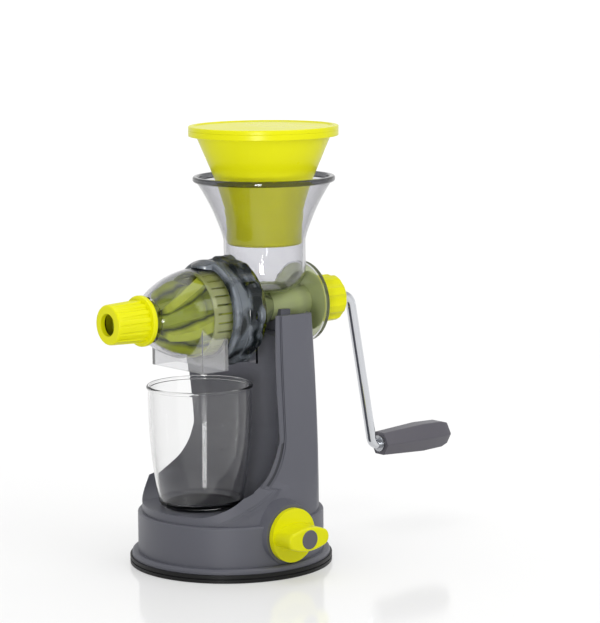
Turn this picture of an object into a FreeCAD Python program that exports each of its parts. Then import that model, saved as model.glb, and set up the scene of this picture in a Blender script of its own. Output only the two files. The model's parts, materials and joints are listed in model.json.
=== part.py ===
import FreeCAD, Part

import math
import os

import Sketcher
from FreeCAD import Placement, Rotation, Vector

# Driving sizes in millimetres and degrees. The model stands on z = 0, the barrel runs along x,
# the pulp outlet is at -x, the crank at +x and the lock knob at -y.
SIZES = {
    # Drum, suction pad and what lies between them
    "pad_radius": 74.0,
    "pad_thickness": 5.8,
    "pad_groove_depth": 1.0,
    "pad_groove_width": 0.8,
    "pad_membrane": 2.4,
    "pad_rim_width": 14.0,
    "lip_radius": 72.6,
    "lip_height": 3.8,
    "lip_rounding": 2.3,
    "drum_radius": 67.9,
    "drum_top": 38.6,
    "drum_edge_rounding": 1.6,
    "drum_wall": 3.0,
    "plate_thickness": 2.4,
    "plate_clearance": 0.3,
    "plate_hub_wall": 3.6,
    "plate_hub_guide": 3.4,
    "screw_count": 4,
    "screw_turn": 45.0,
    "screw_radius": 1.9,
    "screw_length": 14.0,
    "screw_head_radius": 2.8,
    "screw_head_height": 1.6,
    "post_radius": 4.6,
    "post_sink": 0.4,
    # Column and cup bay
    "shell_ledge": 3.3,
    "shell_foot_flat": 9.0,
    "shell_foot_splay": 3.6,
    "shell_low_splay": 3.0,
    "shell_middle_splay": 1.5,
    "shell_top_splay": 0.6,
    "shell_bow": 330.0,
    "shell_low_height": 58.0,
    "shell_middle_height": 110.0,
    "shell_low_flat": 11.6,
    "shell_middle_flat": 15.6,
    "shell_top_flat": 17.2,
    "shell_middle_draw": 1.0,
    "shell_top_draw": 4.6,
    "shell_wall": 3.2,
    "cavity_top": 150.0,
    "bay_axis_x": -38.0,
    "bay_floor": 44.5,
    "bay_floor_radius": 38.5,
    "bay_fillet_radius": 34.0,
    "bay_low_radius": 56.1,
    "bay_low_height": 58.6,
    "bay_side_bend": 80.0,
    "bay_wall_radius": 66.6,
    "bay_wall_height": 96.0,
    "bay_top_radius": 63.9,
    "bay_head_room": 18.0,
    "seam_offset": 6.6,
    "seam_width": 5.0,
    "seam_depth": 0.4,
    "seam_core_width": 2.4,
    "seam_core_depth": 0.9,
    "cheek_wall": 4.0,
    "column_top_tilt": 2.7,
    "rear_notch_x": 46.0,
    "rear_notch_depth": 8.5,
    "trough_depth": 18.5,
    "trough_rear_x": 55.5,
    "saddle_front_x": 37.0,
    "saddle_half_width": 15.0,
    # Barrel, hopper and what the column carries
    "barrel_height": 184.5,
    "seat_clearance": 0.3,
    "wall": 1.9,
    "sleeve_front_x": -12.0,
    "sleeve_radius": 33.4,
    "sleeve_wall": 2.2,
    "stop_front_x": 3.4,
    "stop_width": 2.6,
    "stop_radius": 37.0,
    "shoulder_radius": 30.0,
    "shoulder_end_x": 33.0,
    "neck_radius": 12.2,
    "neck_end_x": 75.0,
    "disc_front_x": 69.0,
    "disc_thickness": 2.2,
    "disc_radius": 30.0,
    "disc_lip": 1.2,
    "hopper_x": 34.5,
    "hopper_rim_radius": 52.0,
    "hopper_rim_height": 95.5,
    "hopper_rim_band": 4.2,
    "hopper_rim_rounding": 1.6,
    "hopper_mouth_radius": 49.4,
    "hopper_flare_radius": 33.9,
    "hopper_flare_height": 61.0,
    "hopper_tube_radius": 30.0,
    "hopper_tube_height": 49.0,
    "hopper_low_bend": 73.0,
    "hopper_high_bend": 140.0,
    "hopper_floor_height": 11.0,
    "hopper_floor_bend": 16.0,
    "lug_front_x": 40.0,
    "lug_length": 13.0,
    "lug_width": 12.0,
    "lug_depth": 30.0,
    "drip_plate_half_width": 27.2,
    "drip_plate_depth": 36.5,
    "drip_plate_thickness": 1.8,
    # Bayonet ring
    "ring_front_x": -22.0,
    "ring_rear_x": 2.6,
    "ring_radius": 38.4,
    "ring_edge": 2.4,
    "ring_bore": 35.9,
    "ring_lip_bore": 33.7,
    "bayonet_count": 3,
    "bayonet_arc": 34.0,
    "bayonet_width": 3.2,
    "bayonet_radius": 35.4,
    "bayonet_gap": 0.3,
    "bayonet_setback": 0.9,
    "ring_lobe_count": 12,
    "ring_lobe_radius": 9.0,
    "ring_lobe_rise": 1.8,
    "ring_lobe_length": 12.0,
    "ring_dimple_depth": 1.1,
    "ring_dimple_length": 6.6,
    "ring_dimple_width": 9.8,
    "ring_rib_width": 2.4,
    "ring_waist_depth": 0.9,
    "ring_waist_length": 6.6,
    "ring_window_length": 4.2,
    "ring_window_height": 8.0,
    "visor_reach": 8.6,
    "visor_round": 10.6,
    "visor_tip_radius": 35.0,
    # Front cover with spout
    "cover_flange_width": 3.4,
    "gasket_thickness": 0.8,
    "cover_radius": 33.0,
    "cover_wall": 2.1,
    "cover_bend_x": -33.5,
    "cover_nose_x": -72.0,
    "cover_nose_radius": 16.4,
    "cover_bend": 75.0,
    "nose_tube_radius": 12.6,
    "nose_tube_wall": 2.0,
    "nose_tube_end_x": -101.0,
    "spout_front_x": -47.0,
    "spout_length": 23.3,
    "spout_half_width": 29.5,
    "spout_depth": 38.0,
    "spout_top_depth": 5.9,
    "spout_wall": 1.8,
    # Strainer
    "strainer_front_x": -36.0,
    "strainer_rear_x": -17.0,
    "strainer_wall": 1.1,
    "strainer_clearance": 0.45,
    "strainer_slot_count": 30,
    "strainer_slot_width": 1.4,
    "strainer_rim": 3.0,
    # Pulp cap
    "cap_face_x": -107.3,
    "cap_face_radius": 14.3,
    "cap_root_radius": 15.4,
    "cap_root_x": -80.2,
    "cap_rim_x": -76.4,
    "cap_rim_radius": 18.2,
    "cap_hole_radius": 8.0,
    "cap_face_thickness": 3.4,
    "cap_edge": 1.5,
    "cap_rim_rounding": 0.85,
    "cap_flute_count": 16,
    "cap_flute_radius": 1.6,
    "cap_flute_depth": 0.35,
    # Auger and drive
    "auger_start_count": 5,
    "auger_twist": 1.05,
    "auger_flight_clearance": 0.8,
    "auger_tip_x": -98.0,
    "auger_tip_radius": 7.4,
    "auger_nose_x": -69.2,
    "auger_nose_radius": 9.0,
    "auger_core_radius": 21.0,
    "auger_full_x": -36.0,
    "auger_rear_x": -8.0,
    "auger_feed_radius": 27.4,
    "auger_feed_end_x": 24.0,
    "auger_feed_end_radius": 12.6,
    "auger_root_radius": 9.2,
    "auger_flight_share": 0.24,
    "auger_flank_share": 0.5,
    "auger_nose_groove": 0.8,
    "auger_step": 6.5,
    "auger_tail_end_x": 61.0,
    "auger_seal_x": 25.5,
    "auger_seal_width": 6.0,
    "auger_seal_thickness": 1.0,
    "shaft_radius": 5.0,
    "shaft_front_x": 0.0,
    "shaft_end_x": 90.0,
    "running_gap": 0.06,
    "bush_front_x": 66.0,
    "bush_flange_radius": 22.0,
    "bush_flange_width": 1.6,
    "seal_width": 4.0,
    "hub_front_x": 77.4,
    "hub_end_x": 100.0,
    "hub_radius": 17.4,
    "hub_lobe_count": 8,
    "hub_flute_radius": 7.0,
    "hub_flute_depth": 1.7,
    "hub_rounding": 2.6,
    "rod_radius": 3.8,
    "rod_bend": 9.5,
    "rod_low_bend": 6.6,
    "crank_x": 116.3,
    "crank_pin_x": 138.6,
    "crank_length": 118.0,
    "pin_end_x": 210.0,
    # Grip
    "grip_start_x": 146.0,
    "grip_wide_x": 186.0,
    "grip_shoulder_x": 206.0,
    "grip_end_x": 212.5,
    "grip_small_half": 8.6,
    "grip_wide_half": 10.6,
    "grip_shoulder_half": 10.0,
    "grip_end_half": 8.2,
    "grip_edge": 1.5,
    "grip_gap": 0.12,
    "grip_washer_radius": 6.2,
    "grip_washer_width": 1.2,
    "grip_pocket_radius": 6.6,
    "grip_pocket_depth": 7.0,
    "grip_nut_radius": 5.6,
    "grip_nut_width": 4.0,
    # Pusher
    "pusher_flange_radius": 54.6,
    "pusher_flange_height": 124.6,
    "pusher_flange_thickness": 7.4,
    "pusher_shoulder_radius": 49.0,
    "pusher_neck_radius": 36.0,
    "pusher_neck_height": 93.7,
    "pusher_neck_bend": 97.0,
    "pusher_foot_radius": 27.5,
    "pusher_foot_height": 45.5,
    "pusher_taper_height": 54.0,
    "pusher_edge": 2.6,
    "pusher_wall": 2.2,
    "pusher_lid_thickness": 3.0,
    "pusher_lid_recess": 0.8,
    "pusher_lid_band": 3.4,
    "pusher_lid_plug": 4.0,
    # Cup
    "cup_x": -27.0,
    "cup_rim_radius": 38.8,
    "cup_top": 133.4,
    "cup_base_radius": 31.0,
    "cup_base_bend": 6.0,
    "cup_side_bend": 420.0,
    "cup_wall": 1.5,
    "cup_floor": 3.0,
    "cup_bead": 2.8,
    "cup_bead_radius": 1.42,
    # Lock knob, cam and pull stem
    "knob_height": 30.2,
    "knob_radius": 19.5,
    "knob_thickness": 3.8,
    "knob_gap": 0.4,
    "boss_radius": 21.6,
    "boss_root_radius": 25.6,
    "boss_face_y": -68.2,
    "boss_root_y": -50.0,
    "bar_reach": 17.6,
    "bar_half_length": 15.4,
    "bar_half_height": 8.6,
    "bar_end_half_height": 5.4,
    "bar_end_radius": 6.5,
    "bar_rounding": 1.8,
    "insert_radius": 6.9,
    "insert_depth": 2.4,
    "insert_rise": 0.4,
    "knob_screw_radius": 1.6,
    "knob_screw_head_radius": 3.2,
    "knob_screw_head_height": 2.2,
    "knob_screw_length": 12.0,
    "cam_shaft_radius": 3.6,
    "cam_shaft_start_y": -84.0,
    "cam_shaft_end_y": 14.0,
    "cam_radius": 7.0,
    "cam_throw": 3.0,
    "cam_half_width": 4.0,
    "hanger_y": 9.4,
    "hanger_thickness": 4.0,
    "hanger_half_width": 9.0,
    "stem_radius": 5.0,
    "stem_head_radius": 10.0,
    "stem_head_height": 2.0,
    "stem_window_side": 0.6,
    "stem_window_top": 0.25,
    "stem_window_base": 1.4,
    "stem_window_wall": 3.0,
    "stem_half_thickness": 3.0,
}

SHEET_NAME = "Sizes"
FULL_TURN = 360.0
QUARTER_TURN = 90.0
LABELS = []


class Size:
    """A length that knows both its spreadsheet expression and its present value."""

    def __init__(self, text, value):
        self.text = text
        self.value = value

    def __add__(self, other):
        other = as_size(other)
        return Size(f"({self.text} + {other.text})", self.value + other.value)

    def __sub__(self, other):
        other = as_size(other)
        return Size(f"({self.text} - {other.text})", self.value - other.value)

    def __mul__(self, other):
        other = as_size(other)
        return Size(f"({self.text} * {other.text})", self.value * other.value)

    def __truediv__(self, other):
        other = as_size(other)
        return Size(f"({self.text} / {other.text})", self.value / other.value)

    def __neg__(self):
        return Size(f"(0 - {self.text})", -self.value)

    __radd__ = __add__
    __rmul__ = __mul__

    def __rsub__(self, other):
        return as_size(other) - self


def as_size(number):
    if isinstance(number, Size):
        return number
    return Size(repr(float(number)), float(number))


def root(size):
    return Size(f"sqrt({size.text})", math.sqrt(size.value))


def sine(angle):
    return Size(f"sin({angle.text})", math.sin(math.radians(angle.value)))


def cosine(angle):
    return Size(f"cos({angle.text})", math.cos(math.radians(angle.value)))


class Sheet:
    """The spreadsheet of driving sizes, read back by name."""

    def __init__(self, doc):
        self.cells = doc.addObject("Spreadsheet::Sheet", SHEET_NAME)
        for row, (name, number) in enumerate(SIZES.items(), start=1):
            self.cells.set(f"A{row}", name)
            self.cells.set(f"B{row}", str(number))
            self.cells.setAlias(f"B{row}", name)
        doc.recompute()

    def __getattr__(self, name):
        return Size(f"{SHEET_NAME}.{name}", float(self.cells.get(name)))


def bind(thing, **sizes):
    """Tie properties of an object to the sheet; double underscores stand for dots."""
    for name, size in sizes.items():
        thing.setExpression(name.replace("__", "."), as_size(size).text)


# Outlines -------------------------------------------------------------------------------------

def pin_point(sketch, curve, end, x, y):
    """Hold one end of a curve at x, y from the sketch's origin."""
    for kind, size, axis in (("DistanceX", as_size(x), -2), ("DistanceY", as_size(y), -1)):
        if size.text == "0.0":
            sketch.addConstraint(Sketcher.Constraint("PointOnObject", curve, end, axis))
            continue
        rule = sketch.addConstraint(Sketcher.Constraint(kind, -1, 1, curve, end, size.value))
        sketch.setExpression(f"Constraints[{rule}]", size.text)


def arc_between(start, end, radius, turns_left):
    """The minor arc from start to end; turns_left puts its centre on the left of the way."""
    chord = end - start
    half = chord.Length / 2
    rise = math.sqrt(max(radius * radius - half * half, 0.0))
    side = Vector(-chord.y, chord.x, 0).normalize() * (rise if turns_left else -rise)
    centre = start + chord * 0.5 + side
    first, last = (start, end) if turns_left else (end, start)
    angles = [math.atan2(point.y - centre.y, point.x - centre.x) for point in (first, last)]
    if angles[1] <= angles[0]:
        angles[1] += 2 * math.pi
    return Part.ArcOfCircle(Part.Circle(centre, Vector(0, 0, 1), radius), *angles)


def draw_outline(sketch, corners, closed=True):
    """Draw lines and arcs through the corners.

    A corner is (x, y), or (x, y, radius, turns_left) where an arc leads to it.
    """
    places = [Vector(as_size(c[0]).value, as_size(c[1]).value, 0) for c in corners]
    first = 0 if closed else 1
    ends = []
    for index in range(first, len(corners)):
        corner, start, end = corners[index], places[index - 1], places[index]
        if len(corner) == 2:
            curve = sketch.addGeometry(Part.LineSegment(start, end))
            ends.append((curve, 1, 2))
            continue
        radius, turns_left = as_size(corner[2]), corner[3]
        curve = sketch.addGeometry(arc_between(start, end, radius.value, turns_left))
        rule = sketch.addConstraint(Sketcher.Constraint("Radius", curve, radius.value))
        sketch.setExpression(f"Constraints[{rule}]", radius.text)
        ends.append((curve, 1, 2) if turns_left else (curve, 2, 1))
    for (curve, _, last), (following, start, _) in zip(ends, ends[1:]):
        sketch.addConstraint(Sketcher.Constraint("Coincident", curve, last, following, start))
    if closed:
        sketch.addConstraint(
            Sketcher.Constraint("Coincident", ends[-1][0], ends[-1][2], ends[0][0], ends[0][1]))
    else:
        pin_point(sketch, ends[0][0], ends[0][1], corners[0][0], corners[0][1])
    for (curve, _, last), corner in zip(ends, corners[first:]):
        pin_point(sketch, curve, last, corner[0], corner[1])


def draw_circle(sketch, x, y, radius):
    centre = Vector(as_size(x).value, as_size(y).value, 0)
    circle = sketch.addGeometry(Part.Circle(centre, Vector(0, 0, 1), radius.value))
    pin_point(sketch, circle, 3, x, y)
    rule = sketch.addConstraint(Sketcher.Constraint("Radius", circle, radius.value))
    sketch.setExpression(f"Constraints[{rule}]", radius.text)


PLANES = {
    "XY": Rotation(),
    "XZ": Rotation(Vector(1, 0, 0), 90),
    "YZ": Rotation(Vector(1, 1, 1), 120),
}


def free_sketch(doc, name, plane, corners, closed=True):
    """A sketch of its own on one of the main planes."""
    sketch = doc.addObject("Sketcher::SketchObject", name)
    sketch.Placement = Placement(Vector(), PLANES[plane])
    draw_outline(sketch, corners, closed)
    return sketch


# Solids ---------------------------------------------------------------------------------------

X_AXIS = Vector(1, 0, 0)
Y_AXIS = Vector(0, 1, 0)
Z_AXIS = Vector(0, 0, 1)


def turned(doc, name, corners, axis=Z_AXIS):
    """A solid turned from an x-z outline about the x or z axis."""
    solid = doc.addObject("Part::Revolution", name)
    solid.Source = free_sketch(doc, name + "_outline", "XZ", corners)
    solid.Axis = axis
    solid.Angle = FULL_TURN
    solid.Solid = True
    return solid


def box(doc, name, x, y, z, length, width, height):
    solid = doc.addObject("Part::Box", name)
    bind(solid, Length=length, Width=width, Height=height)
    bind(solid, Placement__Base__x=x, Placement__Base__y=y, Placement__Base__z=z)
    return solid


def rod(doc, name, radius, length, x=0.0, y=0.0, z=0.0, axis=Z_AXIS):
    """A cylinder that starts at x, y, z and runs along an axis."""
    solid = doc.addObject("Part::Cylinder", name)
    solid.Placement = Placement(Vector(), Rotation(Z_AXIS, axis))
    bind(solid, Radius=radius, Height=length)
    bind(solid, Placement__Base__x=x, Placement__Base__y=y, Placement__Base__z=z)
    return solid


def joined(doc, name, solids):
    fusion = doc.addObject("Part::MultiFuse", name)
    fusion.Shapes = solids
    fusion.Refine = True
    return fusion


def cut(doc, name, base, tool):
    result = doc.addObject("Part::Cut", name)
    result.Base = base
    result.Tool = tool
    return result


def common(doc, name, solids):
    result = doc.addObject("Part::MultiCommon", name)
    result.Shapes = solids
    return result


def new_body(doc, label, z=0.0):
    body = doc.addObject("PartDesign::Body", label)
    bind(body, Placement__Base__z=z)
    return body


def body_sketch(body, name, plane, offset=None):
    """A sketch attached to one of the body's own origin planes."""
    sketch = body.newObject("Sketcher::SketchObject", name)
    planes = [item for item in body.Origin.OriginFeatures if item.Role == plane + "_Plane"]
    sketch.AttachmentSupport = [(planes[0], "")]
    sketch.MapMode = "FlatFace"
    if offset is not None:
        bind(sketch, AttachmentOffset__Base__z=offset)
    return sketch


def body_axis(body, letter):
    return [item for item in body.Origin.OriginFeatures if item.Role == letter + "_Axis"][0]


def revolve_in(body, name, corners, letter):
    sketch = body_sketch(body, name + "_outline", "XZ")
    draw_outline(sketch, corners)
    feature = body.newObject("PartDesign::Revolution", name)
    feature.Profile = sketch
    feature.ReferenceAxis = (body_axis(body, letter), [""])
    feature.Angle = FULL_TURN
    return feature


def pattern_in(body, name, feature, letter, count):
    pattern = body.newObject("PartDesign::PolarPattern", name)
    pattern.Originals = [feature]
    pattern.Axis = (body_axis(body, letter), [""])
    pattern.Angle = FULL_TURN
    pattern.Occurrences = int(count.value)
    body.Tip = pattern
    return pattern


def keep(thing, label, z=None):
    """Name a finished sub-part and set its height."""
    thing.Label = label
    if z is not None:
        bind(thing, Placement__Base__z=z)
    LABELS.append(label)
    return thing


# Base -----------------------------------------------------------------------------------------

def screw_places(s):
    """Where the screws stand: evenly round a circle inside the drum's wall."""
    circle = s.drum_radius - s.drum_wall - s.post_radius + s.post_sink
    places = []
    for index in range(int(s.screw_count.value)):
        turn = s.screw_turn + as_size(FULL_TURN * index) / s.screw_count
        places.append((circle * cosine(turn), circle * sine(turn)))
    return places


def make_suction_pad(doc, s):
    """Flat rubber disc, thin in the middle, with a seat for the pull stem's head."""
    groove_top = (s.pad_thickness + s.pad_groove_width) / 2
    groove_base = groove_top - s.pad_groove_width
    groove_radius = s.pad_radius - s.pad_groove_depth
    rim_inside = s.pad_radius - s.pad_rim_width
    seat_radius = s.stem_head_radius + s.plate_clearance
    seat_floor = s.pad_thickness - s.stem_head_height
    body = new_body(doc, "suction_pad")
    revolve_in(body, "pad_dish", [
        (0.0, 0.0),
        (s.pad_radius, 0.0),
        (s.pad_radius, groove_base),
        (groove_radius, groove_base),
        (groove_radius, groove_top),
        (s.pad_radius, groove_top),
        (s.pad_radius, s.pad_thickness),
        (rim_inside, s.pad_thickness),
        (rim_inside - s.pad_rim_width, s.pad_membrane),
        (seat_radius + s.pad_rim_width, s.pad_membrane),
        (seat_radius, seat_floor + s.plate_clearance),
        (seat_radius, seat_floor),
        (0.0, seat_floor),
    ], "Z")
    return keep(body, "suction_pad")


def make_pad_plate(doc, s):
    """The stiff disc over the rubber, with a hub that guides the pull stem."""
    radius = s.drum_radius - s.drum_wall - s.plate_clearance
    head_room = s.stem_head_radius + s.plate_clearance
    head_top = s.cam_throw + s.plate_clearance * 2
    guide_top = head_top + s.plate_hub_guide
    guide = s.stem_radius + s.plate_clearance
    body = new_body(doc, "pad_plate", s.pad_thickness)
    revolve_in(body, "plate_disc", [
        (head_room, 0.0),
        (radius, 0.0),
        (radius, s.plate_thickness),
        (head_room + s.plate_hub_wall, s.plate_thickness),
        (head_room + s.plate_hub_wall, guide_top),
        (guide, guide_top),
        (guide, head_top),
        (head_room, head_top),
    ], "Z")
    x, y = screw_places(s)[0]
    steps = []
    for name, hole_radius, depth in (
            ("screw_hole", s.screw_radius, s.plate_thickness),
            ("screw_sink", s.screw_head_radius + s.plate_clearance, s.screw_head_height)):
        sketch = body_sketch(body, name + "_outline", "XY")
        draw_circle(sketch, x, y, hole_radius)
        pocket = body.newObject("PartDesign::Pocket", name)
        pocket.Profile = sketch
        pocket.Reversed = True
        bind(pocket, Length=depth)
        steps.append(pocket)
    doc.recompute()
    pattern_in(body, "screw_holes", steps[0], "Z", s.screw_count)
    body.Tip.Originals = steps
    return keep(body, "pad_plate")


def make_base_screws(doc, s):
    """Four screws that hold the plate up to the posts of the drum."""
    shank = s.screw_radius.value
    head = s.screw_head_radius.value
    head_height = s.screw_head_height.value
    start = s.pad_thickness.value
    solids = []
    for x, y in screw_places(s):
        foot = Vector(x.value, y.value, start)
        screw = Part.makeCylinder(head, head_height, foot)
        screw = screw.fuse(Part.makeCylinder(shank, s.screw_length.value, foot)).removeSplitter()
        solids.append(screw)
    screws = doc.addObject("Part::Feature", "base_screws")
    screws.Shape = Part.makeCompound(solids)
    return keep(screws, "base_screws")


# Stand ----------------------------------------------------------------------------------------

def shell_section(doc, name, height, radius, flat, splay, inset, bow):
    """One level of the column: rear arc, two bowed sides that splay forward, front arc.

    flat is how far the sides lie in from the full round.
    """
    outer = radius - inset
    half_width = radius - flat
    rear_y = half_width - inset - splay
    rear_x = root(outer * outer - rear_y * rear_y)
    front_y = half_width - inset + splay
    front_x = -root(outer * outer - front_y * front_y)
    sketch = free_sketch(doc, name, "XY", [
        (rear_x, -rear_y),
        (rear_x, rear_y, outer, True),
        (front_x, front_y, bow, True),
        (front_x, -front_y, outer, True),
        (rear_x, -rear_y, bow, True),
    ][1:])
    bind(sketch, Placement__Base__z=height)
    return sketch


def shell_radius(s):
    return s.drum_radius - s.shell_ledge


def make_shell(doc, s, name, inset, base, top):
    """The column's outer form, shrunk all round by inset."""
    foot = shell_radius(s)
    sections = [
        shell_section(doc, name + "_foot", base, foot, s.shell_foot_flat,
                      s.shell_foot_splay, inset, foot),
        shell_section(doc, name + "_low", s.shell_low_height, foot,
                      s.shell_low_flat, s.shell_low_splay, inset, s.shell_bow),
        shell_section(doc, name + "_middle", s.shell_middle_height, foot - s.shell_middle_draw,
                      s.shell_middle_flat, s.shell_middle_splay, inset, s.shell_bow),
        shell_section(doc, name + "_top", top, foot - s.shell_top_draw,
                      s.shell_top_flat, s.shell_top_splay, inset, s.shell_bow),
    ]
    loft = doc.addObject("Part::Loft", name)
    loft.Sections = sections
    loft.Solid = True
    loft.Ruled = False
    return loft


def make_bay(doc, s, name, offset):
    """The round scoop that the cup stands in, grown all round by offset."""
    floor = s.bay_floor - offset
    head = s.barrel_height + s.bay_head_room
    bay = turned(doc, name, [
        (0.0, floor),
        (s.bay_floor_radius, floor),
        (s.bay_low_radius + offset, s.bay_low_height, s.bay_fillet_radius + offset, True),
        (s.bay_wall_radius + offset, s.bay_wall_height, s.bay_side_bend + offset, True),
        (s.bay_top_radius + offset, s.barrel_height),
        (s.bay_top_radius + offset, head),
        (0.0, head),
    ])
    bind(bay, Placement__Base__x=s.bay_axis_x)
    return bay


def make_drum(doc, s):
    """The round base with a lip that spreads over the pad."""
    lip_top = s.pad_thickness + s.lip_height
    rounding = s.drum_edge_rounding
    return turned(doc, "drum", [
        (0.0, s.pad_thickness),
        (s.lip_radius, s.pad_thickness),
        (s.lip_radius, lip_top - s.lip_rounding),
        (s.lip_radius - s.lip_rounding, lip_top, s.lip_rounding, True),
        (s.drum_radius, lip_top),
        (s.drum_radius, s.drum_top - rounding),
        (s.drum_radius - rounding, s.drum_top, rounding, True),
        (0.0, s.drum_top),
    ])


def make_knob_boss(doc, s):
    """The shallow cone on the drum that the knob's disc turns against."""
    length = s.boss_root_y - s.boss_face_y
    boss = doc.addObject("Part::Cone", "knob_boss")
    boss.Placement = Placement(Vector(), Rotation(Z_AXIS, -Y_AXIS))
    bind(boss, Radius1=s.boss_root_radius, Radius2=s.boss_radius, Height=length,
         Placement__Base__y=s.boss_root_y, Placement__Base__z=s.knob_height)
    trim = box(doc, "boss_trim", -s.boss_root_radius, s.boss_face_y, s.pad_thickness,
               s.boss_root_radius * 2, length, s.drum_top * 2)
    return common(doc, "knob_seat", [boss, trim])


def make_stand_hollow(doc, s):
    """The space inside the drum and the column, behind the bay's wall."""
    inner_drum = rod(doc, "drum_hollow", s.drum_radius - s.drum_wall, s.drum_top - s.drum_wall)
    inner_shell = make_shell(doc, s, "shell_hollow", s.shell_wall,
                             s.drum_top - s.drum_wall * 2, s.cavity_top)
    return cut(doc, "hollow", joined(doc, "hollow_block", [inner_drum, inner_shell]),
               make_bay(doc, s, "bay_inner", s.shell_wall))


def make_column_top(doc, s):
    """What is cut away on top: the trough under the barrel, the rear step and the sloped top."""
    reach = shell_radius(s)
    trough_box = box(doc, "trough_box", s.bay_axis_x, -reach, s.barrel_height - s.trough_depth,
                     s.trough_rear_x - s.bay_axis_x, reach * 2, s.barrel_height)
    trough = common(doc, "trough", [trough_box, make_shell(
        doc, s, "trough_form", s.cheek_wall, s.drum_top, s.barrel_height + s.cheek_wall)])
    notch = box(doc, "rear_notch", s.rear_notch_x, -reach, s.barrel_height - s.rear_notch_depth,
                reach, reach * 2, s.barrel_height)
    slope = box(doc, "column_slope", 0.0, -reach, s.barrel_height, reach * 2, reach * 2,
                s.barrel_height)
    slope.Placement = Placement(Vector(), Rotation(Y_AXIS, s.column_top_tilt.value))
    return [trough, notch, slope]


def make_stand(doc, s):
    knob_z = s.knob_height
    shell = make_shell(doc, s, "shell", as_size(0.0), s.drum_top - s.drum_wall, s.barrel_height)
    solid = joined(doc, "stand_block", [make_drum(doc, s), shell, make_knob_boss(doc, s)])
    trough, notch, slope = make_column_top(doc, s)
    cuts = joined(doc, "stand_cuts", [
        make_stand_hollow(doc, s), make_bay(doc, s, "bay", as_size(0.0)), trough])
    block = cut(doc, "stand_carved", solid, cuts)

    saddle = box(doc, "saddle", s.saddle_front_x, -s.saddle_half_width,
                 s.barrel_height - s.trough_depth - s.shell_wall,
                 s.trough_rear_x - s.saddle_front_x, s.saddle_half_width * 2,
                 s.trough_depth + s.shell_wall)
    post_base = s.pad_thickness + s.plate_thickness
    posts = [
        rod(doc, f"post_{number}", s.post_radius, s.drum_top - s.drum_wall / 2 - post_base,
            x=x, y=y, z=post_base)
        for number, (x, y) in enumerate(screw_places(s), start=1)]
    hanger = box(doc, "shaft_hanger", -s.hanger_half_width, s.hanger_y,
                 knob_z - s.hanger_half_width, s.hanger_half_width * 2, s.hanger_thickness,
                 s.bay_floor - s.shell_wall / 2 - knob_z + s.hanger_half_width)
    boss_tube = rod(doc, "boss_tube", s.cam_shaft_radius + s.drum_wall,
                    s.boss_root_y - s.boss_face_y, y=s.boss_face_y, z=knob_z, axis=Y_AXIS)
    filled = joined(doc, "stand_filled", [block, saddle, hanger, boss_tube] + posts)

    groove = rod(doc, "neck_groove", s.neck_radius, s.neck_end_x,
                 x=s.saddle_front_x - s.cheek_wall, z=s.barrel_height, axis=X_AXIS)
    play = s.seat_clearance
    socket = box(doc, "lug_socket", s.lug_front_x - play, -(s.lug_width / 2 + play),
                 s.barrel_height - s.lug_depth - play, s.lug_length + play * 2,
                 s.lug_width + play * 2, s.lug_depth)
    bore = rod(doc, "shaft_bore", s.cam_shaft_radius + s.running_gap,
               s.hanger_y + s.hanger_thickness - s.boss_face_y, y=s.boss_face_y, z=knob_z,
               axis=Y_AXIS)
    pilots = [
        rod(doc, f"pilot_{number}", s.screw_radius, s.screw_length, x=x, y=y, z=s.pad_thickness)
        for number, (x, y) in enumerate(screw_places(s), start=1)]
    drilled = cut(doc, "stand_drilled", filled, joined(
        doc, "stand_holes", [groove, socket, bore, notch, slope] + pilots))
    stand = cut(doc, "stand_body", drilled, make_seam(doc, s))
    return keep(stand, "stand_body")


def seam_step(doc, s, name, start, end, depth):
    """A band cut into the column's skin between two distances from the bay."""
    ring = cut(doc, name + "_ring", make_bay(doc, s, name + "_outside", end),
               make_bay(doc, s, name + "_inside", start))
    outside = make_shell(doc, s, name + "_skin", -s.seam_width, s.drum_top, s.barrel_height)
    inside = make_shell(doc, s, name + "_core", depth, s.drum_top - s.drum_wall, s.barrel_height)
    return common(doc, name, [ring, cut(doc, name + "_band", outside, inside)])


def make_seam(doc, s):
    """A soft valley in two steps that follows the bay's edge round the column's sides."""
    middle = s.seam_offset + s.seam_width / 2
    half = s.seam_core_width / 2
    return joined(doc, "seam", [
        seam_step(doc, s, "seam_wide", s.seam_offset, s.seam_offset + s.seam_width,
                  s.seam_depth),
        seam_step(doc, s, "seam_deep", middle - half, middle + half, s.seam_core_depth)])


# Feed housing ---------------------------------------------------------------------------------
# From here on each sub-part is drawn with the barrel's axis at z = 0 and then raised.

def hopper_form(doc, s, name, inset, top):
    """Trumpet, tube and rounded floor of the hopper, shrunk by inset."""
    tube = s.hopper_tube_radius - inset
    bend = s.hopper_floor_bend
    form = turned(doc, name, [
        (0.0, s.hopper_floor_height + inset),
        (s.hopper_tube_radius - bend, s.hopper_floor_height + inset),
        (tube, s.hopper_floor_height + bend, bend - inset, True),
        (tube, s.hopper_tube_height),
        (s.hopper_flare_radius - inset, s.hopper_flare_height, s.hopper_low_bend, False),
        (s.hopper_mouth_radius - inset, s.hopper_rim_height - s.hopper_rim_band,
         s.hopper_high_bend, False),
        (s.hopper_mouth_radius - inset, top),
        (0.0, top),
    ])
    bind(form, Placement__Base__x=s.hopper_x)
    return form


def hopper_rim(doc, s):
    """The thick rounded lip round the hopper's mouth."""
    inner = s.hopper_mouth_radius - s.wall
    outer = s.hopper_rim_radius
    top = s.hopper_rim_height
    base = top - s.hopper_rim_band
    rounding = s.hopper_rim_rounding
    rim = turned(doc, "hopper_rim", [
        (inner, base),
        (outer - rounding, base),
        (outer, base + rounding, rounding, True),
        (outer, top - rounding),
        (outer - rounding, top, rounding, True),
        (inner + rounding, top),
        (inner, top - rounding, rounding, True),
    ])
    bind(rim, Placement__Base__x=s.hopper_x)
    return rim


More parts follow.
